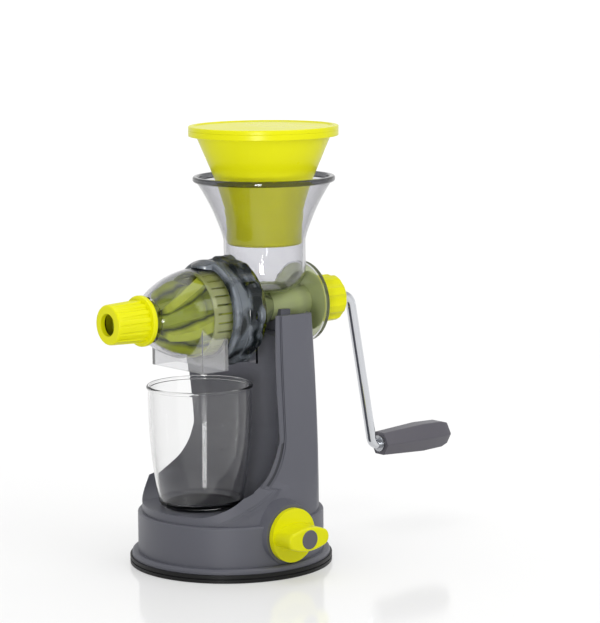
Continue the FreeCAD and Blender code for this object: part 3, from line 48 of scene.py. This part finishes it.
# Places that tell the faces of one moulding apart. The barrel's axis is the crank's.
BARREL_Z = [joint["pos_m"][2] for joint in frame["joints"] if joint["name"] == "crank_turn"][0]
AUGER_TAIL_X = 0.022        # behind it the flights have run out
SHOULDER_X = 0.004          # the housing's shoulder and neck lie behind it
SHOULDER_FOOT = BARREL_Z - 0.034
NECK_TOP = BARREL_Z + 0.0135
DISC_X = 0.066              # the rear disc lies behind it
DISC_LENS = 0.0293          # its faces within this radius lie inside its lip
RIM_BAND = 0.0047           # the bead round the hopper's mouth is this close to the top
SPOUT_LIP = 0.148           # only the spout's walls reach below it

# The bay's upright axis, and the radius of its wall at heights up to the barrel's axis
BAY_X = -0.038
BAY_PROFILE = [(0.0586, 0.0561), (0.072, 0.0614), (0.084, 0.0646), (0.096, 0.0666),
               (BARREL_Z, 0.0639)]

# The valley on the column's sides, with distances from the bay's wall
SEAM_FOOT = 0.062           # height above which it is moved and given painted shade
SEAM_SIDE = 0.03            # distance from the middle plane where the sides begin
SEAM_START = 0.5 * MM       # nothing nearer than this or further than the fade moves
SEAM_FADE = 0.024
# Distances before and after the move, with the valley's two edges in the middle
SEAM_MOVES = [(0.0, 0.0), (0.0066, 0.0008), (0.0116, 0.0046), (SEAM_FADE, SEAM_FADE)]
SEAM_CORE = (0.0014, 0.0040)  # where the painted shade line lies after the move
SIDE_SLOPE = 0.08           # how fast the sides close in towards the rear

# The auger's flights, stored on its points as levels: 0 on the core, and these two
CREST_LEVEL = 0.7
TAIL_LEVEL = 1.0
SLICES_NEAR = 3             # a point is held against those so many slices of 1 mm away
FLIGHT_LEAST = 0.6 * MM     # a lower rise between core and crest is no flight

# Edges of the dressed copies
SHARP_ANGLE = 32.0
FLAT_ANGLE = 0.4
SAME_POINT = 0.002 * MM
BEVEL_STEPS = 3

# Colours as they look (sRGB, 0 to 255). EDGE is the painted shade that darkens a clear plastic towards its
# outline.
GREY = (93, 94, 103)
# Painted shade on the floor of the valley on the column's sides
SEAM_SHADE_GREY = (60, 61, 67)
DARK_GREY = (92, 90, 98)
SEAL_GREY = (84, 88, 76)
BLACK = (13, 13, 14)
LIME = (229, 228, 12)
CORE_GREEN = (176, 190, 38)
# Painted shade on the auger's flanks, then a painted highlight on its crests
SHADED_FLANK_GREEN = (48, 60, 6)
LIT_CREST_GREEN = (216, 228, 62)
TAIL_GREEN = (226, 232, 170)
BUSH_GREEN = (206, 214, 150)
STRAINER_GREEN = (238, 244, 160)
# Painted light: the pale green of the lit auger seen through the housing's neck and rear disc
NECK_LIT_GREEN = (212, 222, 166)
GREEN_EDGE = (76, 84, 62)
SMOKE = (232, 232, 235)
SMOKE_EDGE = (30, 34, 38)
SPOUT = (250, 250, 252)
SPOUT_EDGE = (104, 106, 112)
RIM_SMOKE = (120, 121, 124)
RIM_EDGE = (12, 13, 15)
# The ring's face-on colour is its painted highlight and its second colour its painted shade, in patches side by
# side
SLATE = (168, 176, 186)
SLATE_SHADE = (40, 48, 50)
SLATE_EDGE = (8, 12, 13)
CUP = (250, 250, 250)
CUP_EDGE = (172, 170, 170)
CHROME = (208, 210, 214)
STEEL = (176, 178, 182)
WHITE = (1.0, 1.0, 1.0, 1.0)  # as shaders take it

# Patterns: scale, detail and, where they are stretched, the factors along x, y and z
MOULDING_DRIFT = (14.0,)
FLIGHT_STREAKS = (30.0, 3.0, (0.4, 1.0, 1.0))
FLIGHT_GRAIN = (700.0, 3.0)
RIPPLE = (45.0, 1.0)
# Painted lit and shaded patches on the thick ring
LIT_AND_SHADED_PATCHES = (75.0, 1.5, (1.0, 0.7, 0.7))
GRAIN_DETAIL = 3.0
METAL_LINES = (60.0, 4.0)
NOISE_LOW = 0.35            # most of a pattern lies between these two
NOISE_HIGH = 0.65
PATCH_EDGES = (0.43, 0.56)  # between these the ring's painted shade turns into painted highlight

# How far surfaces differ within themselves, as shares of their own colour and roughness
METAL_DRIFT = 0.03
PLASTIC_WEAR = (0.9, 1.12)
METAL_WEAR = (0.8, 1.25)

# How much each kind of plastic bends light
PLASTIC_IOR = 1.47
CLEAR_IOR = 1.36

# Strength of each kind of bump, and the depth of those that are alike on all their pieces
GRAIN_BUMP = 0.35
FLIGHT_BUMP = (0.3, 0.00003)
RIPPLE_BUMP = (0.12, 0.0006)
METAL_BUMP = 0.2

# The green at each level between the auger's core and its tail, with painted shade on the flights' flanks and
# painted highlights on their crests, and how far levels drift
FLIGHT_DRIFT = 0.12
FLIGHT_GREENS_LIT_AND_SHADED = [(0.12, CORE_GREEN), (0.3, SHADED_FLANK_GREEN), (0.5, LIT_CREST_GREEN),
                 (CREST_LEVEL, LIT_CREST_GREEN), (TAIL_LEVEL, TAIL_GREEN)]


def linear(colour):
    """A colour given as it looks, as the numbers that shaders take: the sRGB standard's curve."""
    return tuple(((c / 255 + 0.055) / 1.055) ** 2.4 if c > 10 else c / 255 / 12.92
                 for c in colour) + (1.0,)


def scaled(colour, factor):
    """A colour made darker or lighter, up to white."""
    return tuple(min(c * factor, 255) for c in colour)


def along(stops, place):
    """The value at a place between (place, value) stops, and level beyond them."""
    for (low, first), (high, last) in zip(stops, stops[1:]):
        if place < high:
            return first + (last - first) * max(place - low, 0.0) / (high - low)
    return stops[-1][1]


# Materials ------------------------------------------------------------------------------------

class Tree:
    """Short ways to add nodes and links to one shader tree."""

    def __init__(self, tree):
        self.tree = tree

    def add(self, kind, **values):
        """A new node. A value is a setting or, with _ for a space, an input of that name."""
        node = self.tree.nodes.new("ShaderNode" + kind)
        for name, value in values.items():
            if hasattr(node, name):
                setattr(node, name, value)
            else:
                node.inputs[name.replace("_", " ")].default_value = value
        return node

    def link(self, source, output, target, socket):
        """Join two sockets, each given by its name or its place."""
        self.tree.links.new(source.outputs[output], target.inputs[socket])

    def combine(self, operation, first, second):
        """A Math node on two things, each a (node, output) pair or a number."""
        node = self.add("Math", operation=operation)
        for place, source in enumerate((first, second)):
            if isinstance(source, tuple):
                self.link(*source, node, place)
            else:
                node.inputs[place].default_value = source
        return node

    def ramp(self, stops):
        """A colour ramp through (place, colour) stops, with colours as shaders take them."""
        ramp = self.add("ValToRGB")
        elements = ramp.color_ramp.elements
        while len(elements) < len(stops):
            elements.new(0.5)
        for element, (place, colour) in zip(elements, stops):
            element.position = place
            element.color = colour
        return ramp


class Surface(Tree):
    """The tree of one new material."""

    def __init__(self, name):
        self.material = bpy.data.materials.new(name)
        self.material.use_nodes = True
        super().__init__(self.material.node_tree)
        self.shader = self.tree.nodes["Principled BSDF"]
        self.output = self.tree.nodes["Material Output"]

    def shade(self, **values):
        """Set the shader's own sockets, named with _ for a space."""
        for name, value in values.items():
            self.shader.inputs[name.replace("_", " ")].default_value = value

    def noise(self, scale, detail=2.0, stretch=None):
        """A noise pattern that goes with the piece."""
        where = self.add("TexCoord")
        noise = self.add("TexNoise", Scale=scale, Detail=detail)
        if stretch is None:
            self.link(where, "Object", noise, "Vector")
            return noise
        mapping = self.add("Mapping", Scale=stretch)
        self.link(where, "Object", mapping, "Vector")
        self.link(mapping, "Vector", noise, "Vector")
        return noise

    def bump(self, noise, strength, distance):
        """Raise the surface where the pattern is light."""
        bump = self.add("Bump", Strength=strength, Distance=distance)
        self.link(noise, "Fac", bump, "Height")
        self.link(bump, "Normal", self.shader, "Normal")

    def wear(self, noise, rough, shares):
        """Let the roughness follow the pattern between two shares of it."""
        low, high = shares
        spread = self.add("MapRange", From_Min=NOISE_LOW, From_Max=NOISE_HIGH,
                          To_Min=rough * low, To_Max=rough * high)
        self.link(noise, "Fac", spread, "Value")
        self.link(spread, "Result", self.shader, "Roughness")

    def tint(self, noise, colour, drift):
        """Let the colour follow the pattern from a little darker to a little lighter."""
        mix = self.add("Mix", data_type="RGBA", A=linear(scaled(colour, 1 - drift)),
                       B=linear(scaled(colour, 1 + drift)))
        self.link(noise, "Fac", mix, "Factor")
        self.link(mix, "Result", self.shader, "Base Color")


def plastic(name, colour, rough, grain, depth, drift=0.05, gloss=0.5):
    """Moulded plastic: slow colour drift, slightly uneven gloss and fine grain.

    grain is the grain's scale, depth its depth, and drift the share that the colour drifts by.
    """
    surface = Surface(name)
    slow = surface.noise(*MOULDING_DRIFT)
    surface.tint(slow, colour, drift)
    surface.wear(slow, rough, PLASTIC_WEAR)
    surface.bump(surface.noise(grain, GRAIN_DETAIL), GRAIN_BUMP, depth)
    surface.shade(IOR=PLASTIC_IOR, Specular_IOR_Level=gloss)
    return surface.material


def screw_plastic(name, greens_lit_and_shaded, rough):
    """The auger: green between its flights, painted shade on their flanks, painted highlights on their crests, and
    paler on its tail.
    """
    surface = Surface(name)
    height = surface.add("Attribute", attribute_name="flight_height")
    streaks = surface.noise(*FLIGHT_STREAKS)
    drift = surface.add("MapRange", To_Min=-FLIGHT_DRIFT, To_Max=FLIGHT_DRIFT)
    surface.link(streaks, "Fac", drift, "Value")
    both = surface.combine("ADD", (height, "Fac"), (drift, "Result"))
    both.use_clamp = True
    ramp = surface.ramp([(level, linear(green)) for level, green in greens_lit_and_shaded])
    surface.link(both, 0, ramp, "Fac")
    surface.link(ramp, "Color", surface.shader, "Base Color")
    surface.bump(surface.noise(*FLIGHT_GRAIN), *FLIGHT_BUMP)
    surface.shade(Roughness=rough)
    return surface.material


def clear(name, face_on, edge_on, power, rough=0.02, transmission=1.0, shade_patch=None):
    """See-through plastic with painted shade where it is looked at along its skin.

    The higher the power, the nearer to its outline the painted shade lies. A second colour, for thick plastic, is
    painted shade laid in patches beside painted highlights in the face-on colour.
    """
    surface = Surface(name)
    # Painted shade that grows as the skin is seen edge-on
    facing = surface.add("LayerWeight", Blend=0.5)
    curve = surface.combine("POWER", (facing, "Facing"), power)
    mix = surface.add("Mix", data_type="RGBA", A=linear(face_on), B=linear(edge_on))
    if shade_patch:
        patches = surface.ramp(list(zip(PATCH_EDGES, (linear(shade_patch), linear(face_on)))))
        surface.link(surface.noise(*LIT_AND_SHADED_PATCHES), "Fac", patches, "Fac")
        surface.link(patches, "Color", mix, "A")
    surface.link(curve, 0, mix, "Factor")
    surface.link(mix, "Result", surface.shader, "Base Color")
    surface.bump(surface.noise(*RIPPLE), *RIPPLE_BUMP)
    surface.shade(Roughness=rough, Transmission_Weight=transmission, IOR=CLEAR_IOR)
    return surface.material


def metal(name, colour, rough, stretch, depth):
    """Metal with fine marks, which are longest along the axis that is stretched least."""
    surface = Surface(name)
    lines = surface.noise(*METAL_LINES, stretch)
    surface.tint(lines, colour, METAL_DRIFT)
    surface.wear(lines, rough, METAL_WEAR)
    surface.bump(lines, METAL_BUMP, depth)
    surface.shade(Metallic=1.0)
    return surface.material


MATERIALS = {
    "grey": plastic("grey_satin_plastic", GREY, rough=0.42, grain=2600.0, depth=0.00004),
    "groove_shade": plastic("grey_groove_plastic", SEAM_SHADE_GREY, rough=0.5, grain=2600.0,
                      depth=0.00004),
    "dark": plastic("dark_grip_plastic", DARK_GREY, rough=0.4, grain=2200.0, depth=0.00006),
    "lime": plastic("lime_gloss_plastic", LIME, rough=0.3, grain=900.0, depth=0.00002,
                    drift=0.02, gloss=0.22),
    "auger": screw_plastic("green_auger_plastic", FLIGHT_GREENS_LIT_AND_SHADED, rough=0.28),
    "bush": plastic("pale_green_plastic", BUSH_GREEN, rough=0.35, grain=900.0, depth=0.00003),
    "strainer": clear("pale_strainer_plastic", STRAINER_GREEN, GREEN_EDGE, power=3.0,
                      rough=0.35, transmission=0.35),
    "rubber": plastic("black_rubber", BLACK, rough=0.45, grain=1500.0, depth=0.00008,
                      drift=0.2, gloss=0.3),
    "seal": plastic("grey_seal_rubber", SEAL_GREY, rough=0.55, grain=1500.0, depth=0.00005,
                    drift=0.1),
    "smoke": clear("smoke_clear_plastic", SMOKE, SMOKE_EDGE, power=2.2),
    "spout": clear("spout_clear_plastic", SPOUT, SPOUT_EDGE, power=2.6, transmission=0.84),
    "neck": clear("green_lit_smoke_plastic", NECK_LIT_GREEN, GREEN_EDGE, power=2.6, transmission=0.5),
    "rim": clear("smoke_rim_plastic", RIM_SMOKE, RIM_EDGE, power=1.0),
    "ring": clear("slate_ring_plastic", SLATE, SLATE_EDGE, power=1.3, rough=0.05,
                  transmission=0.6, shade_patch=SLATE_SHADE),
    "cup": clear("clear_tumbler_plastic", CUP, CUP_EDGE, power=4.0),
    "chrome": metal("chrome_bar", CHROME, rough=0.07, stretch=(1.0, 1.0, 1.0), depth=0.00001),
    "steel": metal("turned_steel", STEEL, rough=0.3, stretch=(0.1, 8.0, 8.0), depth=0.00002),
}

# Each node's material and, where a dressed copy stands for it, its bevel's width in mm
FINISHES = {
    "suction_pad": ("rubber", 0.5),
    "pad_plate": ("grey", None),
    "base_screws": ("steel", None),
    "stand_body": ("grey", 0.7),
    "feed_housing": ("smoke", 0.3),
    "front_gasket": ("rubber", None),
    "lock_ring": ("ring", 0.35),
    "front_cover": ("smoke", 0.3),
    "strainer": ("strainer", None),
    "pulp_cap": ("lime", 0.35),
    "auger": ("auger", 0.4),
    "auger_seal": ("seal", 0.2),
    "shaft_seal": ("seal", None),
    "rear_bush": ("bush", 0.4),
    "auger_shaft": ("steel", None),
    "hub_nut": ("lime", 0.6),
    "crank_rod": ("chrome", None),
    "crank_grip": ("dark", 0.5),
    "grip_washer": ("steel", None),
    "grip_nut": ("steel", None),
    "pusher": ("lime", 0.5),
    "pusher_lid": ("lime", 0.4),
    "juice_cup": ("cup", None),
    "lock_knob": ("lime", 0.5),
    "knob_insert": ("dark", 0.4),
    "knob_screw": ("steel", None),
    "cam_shaft": ("steel", None),
    "pull_stem": ("steel", None),
}


# Forms and finishes within one moulding -------------------------------------------------------

def add_finish(piece, key):
    """Give a piece one more material, and tell its place among the piece's materials."""
    piece.data.materials.append(MATERIALS[key])
    return len(piece.data.materials) - 1


def corners_of(mesh, face):
    """Where a face's corners lie."""
    return [mesh.vertices[index].co for index in face.vertices]


def barrel_reach(point):
    """How far a point lies from the barrel's axis."""
    return math.hypot(point.y, point.z - BARREL_Z)


def beyond_bay(point):
    """How far a point lies outside the bay's round wall."""
    return math.hypot(point.x - BAY_X, point.y) - along(BAY_PROFILE, point.z)


def mark_flights(mesh):
    """Store as a level how far each point stands out between the auger's core and crest."""
    slices = {}
    for point in mesh.vertices:
        slices.setdefault(round(point.co.x / MM), []).append(barrel_reach(point.co))
    height = mesh.attributes.new("flight_height", "FLOAT", "POINT")
    for index, point in enumerate(mesh.vertices):
        place = round(point.co.x / MM)
        near = [reach for step in range(place - SLICES_NEAR, place + SLICES_NEAR + 1)
                for reach in slices.get(step, [])]
        core = min(near)
        rise = max(near) - core
        share = (barrel_reach(point.co) - core) / rise if rise > FLIGHT_LEAST else 1.0
        in_tail = point.co.x > AUGER_TAIL_X
        height.data[index].value = TAIL_LEVEL if in_tail else share * CREST_LEVEL


def draw_seam_in(mesh):
    """Bring the valley on the column's sides nearer to the bay's edge."""
    for point in mesh.vertices:
        across = abs(point.co.y)
        outside = beyond_bay(point.co)
        if point.co.z < SEAM_FOOT or across < SEAM_SIDE or not SEAM_START < outside < SEAM_FADE:
            continue
        ring = along(BAY_PROFILE, point.co.z) + along(SEAM_MOVES, outside)
        shift = math.sqrt(ring * ring - across * across) + BAY_X - point.co.x
        point.co.x += shift
        point.co.y -= math.copysign(shift * SIDE_SLOPE, point.co.y)


def paint_seam_shade(piece):
    """The floor of the valley on the column's sides is painted darker grey, as painted shade."""
    groove_shade = add_finish(piece, "groove_shade")
    low, high = SEAM_CORE
    for face in piece.data.polygons:
        if all(abs(point.y) > SEAM_SIDE and point.z > SEAM_FOOT
               and low < beyond_bay(point) < high for point in corners_of(piece.data, face)):
            face.material_index = groove_shade


def takes_painted_green(corners):
    """Whether a face of the housing is on its shoulder and neck, or on the rear disc."""
    start = min(point.x for point in corners)
    if start > DISC_X:
        return max(barrel_reach(point) for point in corners) < DISC_LENS
    return (start > SHOULDER_X and min(point.z for point in corners) > SHOULDER_FOOT
            and max(point.z for point in corners) < NECK_TOP)


def mark_housing(piece):
    """Darker plastic in the bead round the hopper's mouth, and a painted pale green round the auger's tail for the
    lit auger seen through it.
    """
    rim = add_finish(piece, "rim")
    neck = add_finish(piece, "neck")
    bead = max(point.co.z for point in piece.data.vertices) - RIM_BAND
    for face in piece.data.polygons:
        corners = corners_of(piece.data, face)
        if min(point.z for point in corners) > bead:
            face.material_index = rim
        elif takes_painted_green(corners):
            face.material_index = neck


def mark_spout(piece):
    """The spout's walls, whose faces run down to its mouth, are milkier than the cover."""
    spout = add_finish(piece, "spout")
    for face in piece.data.polygons:
        if min(point.z for point in corners_of(piece.data, face)) < SPOUT_LIP:
            face.material_index = spout


# What is done to the mesh of some dressed copies, and then to the painted piece
FORMS = {"auger": mark_flights, "stand_body": draw_seam_in}
SECOND_FINISHES = {"stand_body": paint_seam_shade, "feed_housing": mark_housing,
                   "front_cover": mark_spout}


# Dressing the nodes ---------------------------------------------------------------------------

def paint(piece, key):
    """Give a piece this one material."""
    piece.data.materials.clear()
    add_finish(piece, key)


def body_of_node(node):
    """The CAD body that a node moves with."""
    bodies = frame["record"]["behaviour"]["bodies"]
    return [body for body, members in bodies.items() if node in members][0]


def smooth_copy(node):
    """A new mesh with the node's form, smooth but for its sharp edges."""
    work = bmesh.new()
    work.from_mesh(frame["nodes"][node].data)
    bmesh.ops.remove_doubles(work, verts=work.verts, dist=SAME_POINT)
    bmesh.ops.dissolve_limit(work, angle_limit=math.radians(FLAT_ANGLE), verts=work.verts,
                             edges=work.edges)
    for face in work.faces:
        face.smooth = True
    for edge in work.edges:
        if len(edge.link_faces) == 2:
            edge.smooth = edge.calc_face_angle(0.0) < math.radians(SHARP_ANGLE)
    fresh = bpy.data.meshes.new(node + "_skin")
    work.to_mesh(fresh)
    work.free()
    return fresh


def skin(node, key, bevel):
    """A copy of the node's form with its edges rounded, which stands for it."""
    mesh = smooth_copy(node)
    if node in FORMS:
        FORMS[node](mesh)
    piece = bpy.data.objects.new(node + "_skin", mesh)
    bpy.context.scene.collection.objects.link(piece)
    paint(piece, key)
    if node in SECOND_FINISHES:
        SECOND_FINISHES[node](piece)
    rounding = piece.modifiers.new("rounded_edges", "BEVEL")
    rounding.width = bevel * MM
    rounding.segments = BEVEL_STEPS
    rounding.limit_method = "ANGLE"
    rounding.angle_limit = math.radians(SHARP_ANGLE)
    even = piece.modifiers.new("even_shading", "WEIGHTED_NORMAL")
    even.keep_sharp = True
    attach(piece, body_of_node(node))
    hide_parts(node)


for node_name, (finish, edge_width) in FINISHES.items():
    if edge_width is None:
        paint(frame["nodes"][node_name], finish)
    else:
        skin(node_name, finish, edge_width)


# Floor, light and camera ----------------------------------------------------------------------

FLOOR_REACH = 40.0
FLOOR_DROP = 0.0002         # so that the floor and the pad don't share one plane
FLOOR_COLOUR = (0.62, 0.62, 0.62, 1.0)
FLOOR_ROUGH = 0.1
FLOOR_IOR = 1.24
FLOOR_GLOW = 0.32           # what the floor adds to its own colour where it is seen

# Height of a direction (-1 down, 1 up) and the light that comes from it: a pale backdrop
# along the horizon, darker walls above it and a soft box overhead.
ROOM_BANDS = [(-1.0, 0.3), (-0.05, 1.0), (0.2, 1.0), (0.36, 0.3), (0.6, 0.3), (0.82, 1.0)]
BACKDROP_SIDE = (0.62, 0.78, 0.0)  # where the room is brightest
FRONT_LIGHT = 0.55          # its share of that light on the opposite side
SIDE_FADE = (-0.2, 0.6)     # towards the backdrop, where the one turns into the other
PLAIN_SHARE = 0.5           # share of plain white in what rays other than the camera's meet

# Each lamp's name, place, aim, size, power in W and spread
LAMPS = [
    ("key_right", (0.25, -0.95, 0.72), (0.0, 0.0, 0.2), (0.7, 0.5), 2.75, 180.0),
    ("fill_left", (-1.1, -1.0, 0.12), (-0.02, 0.0, 0.3), (0.3, 0.3), 0.42, 35.0),
    ("top", (0.0, 0.1, 1.7), (0.0, 0.0, 0.15), (1.2, 1.2), 5.6, 180.0),
]

# The photograph's viewpoint, fitted to the ellipses and axes seen in it. The first three say
# where it is round the upright axis, and the next three which way it looks.
CAMERA_AROUND = -38.19
CAMERA_AWAY = 1.81581
CAMERA_HEIGHT = 0.45034
CAMERA_HEADING = -39.83
CAMERA_DOWN = 8.38
CAMERA_ROLL = -0.49
CAMERA_LENS_MM = 152.01
CAMERA_SENSOR_MM = 36.0
CAMERA_CLIP = 200.0


def make_floor():
    """A pale, slightly glossy floor that glows where it is seen, as a lit studio table does."""
    mesh = bpy.data.meshes.new("floor")
    mesh.from_pydata([(-FLOOR_REACH, -FLOOR_REACH, 0), (FLOOR_REACH, -FLOOR_REACH, 0),
                      (FLOOR_REACH, FLOOR_REACH, 0), (-FLOOR_REACH, FLOOR_REACH, 0)],
                     [], [(0, 1, 2, 3)])
    floor = bpy.data.objects.new("floor", mesh)
    floor.location.z = -FLOOR_DROP
    bpy.context.scene.collection.objects.link(floor)
    surface = Surface("pale_floor")
    surface.shade(Base_Color=FLOOR_COLOUR, Roughness=FLOOR_ROUGH, IOR=FLOOR_IOR)
    rays = surface.add("LightPath")
    seen = surface.combine("MAXIMUM", (rays, "Is Camera Ray"), (rays, "Is Transmission Ray"))
    either = surface.combine("MAXIMUM", (seen, 0), (rays, "Is Glossy Ray"))
    part = surface.combine("MULTIPLY", (either, 0), FLOOR_GLOW)
    glow = surface.add("Emission")
    surface.link(part, 0, glow, "Strength")
    both = surface.add("AddShader")
    surface.link(surface.shader, "BSDF", both, 0)
    surface.link(glow, "Emission", both, 1)
    surface.link(both, "Shader", surface.output, "Surface")
    mesh.materials.append(surface.material)


def room_light(sky):
    """A node that gives the room's light, dimmed on the side away from the backdrop."""
    where = sky.add("TexCoord")
    parts = sky.add("SeparateXYZ")
    sky.link(where, "Generated", parts, 0)
    level = sky.add("MapRange", From_Min=-1.0)
    sky.link(parts, "Z", level, "Value")
    room = sky.ramp([((height + 1) / 2, (light, light, light, 1.0))
                     for height, light in ROOM_BANDS])
    room.color_ramp.interpolation = "EASE"
    sky.link(level, "Result", room, "Fac")
    backdrop = sky.add("VectorMath", operation="DOT_PRODUCT")
    backdrop.inputs[1].default_value = BACKDROP_SIDE
    sky.link(where, "Generated", backdrop, 0)
    start, end = SIDE_FADE
    side = sky.add("MapRange", interpolation_type="SMOOTHSTEP", From_Min=start, From_Max=end,
                   To_Min=FRONT_LIGHT)
    sky.link(backdrop, "Value", side, "Value")
    return sky.combine("MULTIPLY", (room, "Color"), (side, "Result"))


def make_world():
    """Plain white where the camera sees it, and for other rays a share of it with the room."""
    world = bpy.data.worlds.new("studio")
    bpy.context.scene.world = world
    world.use_nodes = True
    sky = Tree(world.node_tree)
    background = world.node_tree.nodes["Background"]
    background.inputs["Color"].default_value = WHITE
    rays = sky.add("LightPath")
    plain = sky.combine("MAXIMUM", (rays, "Is Camera Ray"), PLAIN_SHARE)
    strength = sky.add("Mix", B=1.0)
    sky.link(plain, 0, strength, "Factor")
    sky.link(room_light(sky), 0, strength, "A")
    sky.link(strength, "Result", background, "Strength")


def make_lamp(name, place, aim, size, power, spread):
    """A soft box that lights the object without being seen."""
    data = bpy.data.lights.new(name, "AREA")
    data.shape = "RECTANGLE"
    data.size, data.size_y = size
    data.energy = power
    data.spread = math.radians(spread)
    lamp = bpy.data.objects.new(name, data)
    lamp.location = place
    lamp.visible_camera = False
    lamp.rotation_euler = (Vector(aim) - Vector(place)).to_track_quat("-Z", "Y").to_euler()
    bpy.context.scene.collection.objects.link(lamp)


def make_camera():
    """The photograph's viewpoint: 38 degrees towards the outlet from the knob's side."""
    around = math.radians(CAMERA_AROUND)
    heading = math.radians(CAMERA_HEADING)
    down = math.radians(CAMERA_DOWN)
    roll = math.radians(CAMERA_ROLL)
    place = (math.sin(around) * CAMERA_AWAY, -math.cos(around) * CAMERA_AWAY, CAMERA_HEIGHT)
    forward = Vector((-math.sin(heading) * math.cos(down), math.cos(heading) * math.cos(down),
                      -math.sin(down)))
    right = Vector((math.cos(heading), math.sin(heading), 0.0))
    up = right.cross(forward)
    across = right * math.cos(roll) + up * math.sin(roll)
    upward = up * math.cos(roll) - right * math.sin(roll)
    turn = Matrix((across, upward, -forward)).transposed()
    data = bpy.data.cameras.new("camera")
    data.sensor_fit = "HORIZONTAL"
    data.sensor_width = CAMERA_SENSOR_MM
    data.lens = CAMERA_LENS_MM
    data.clip_end = CAMERA_CLIP
    camera = bpy.data.objects.new("camera", data)
    camera.matrix_world = Matrix.Translation(place) @ turn.to_4x4()
    bpy.context.scene.collection.objects.link(camera)
    bpy.context.scene.camera = camera


make_floor()
make_world()
for lamp_values in LAMPS:
    make_lamp(*lamp_values)
make_camera()
bpy.context.scene.view_settings.view_transform = "Standard"
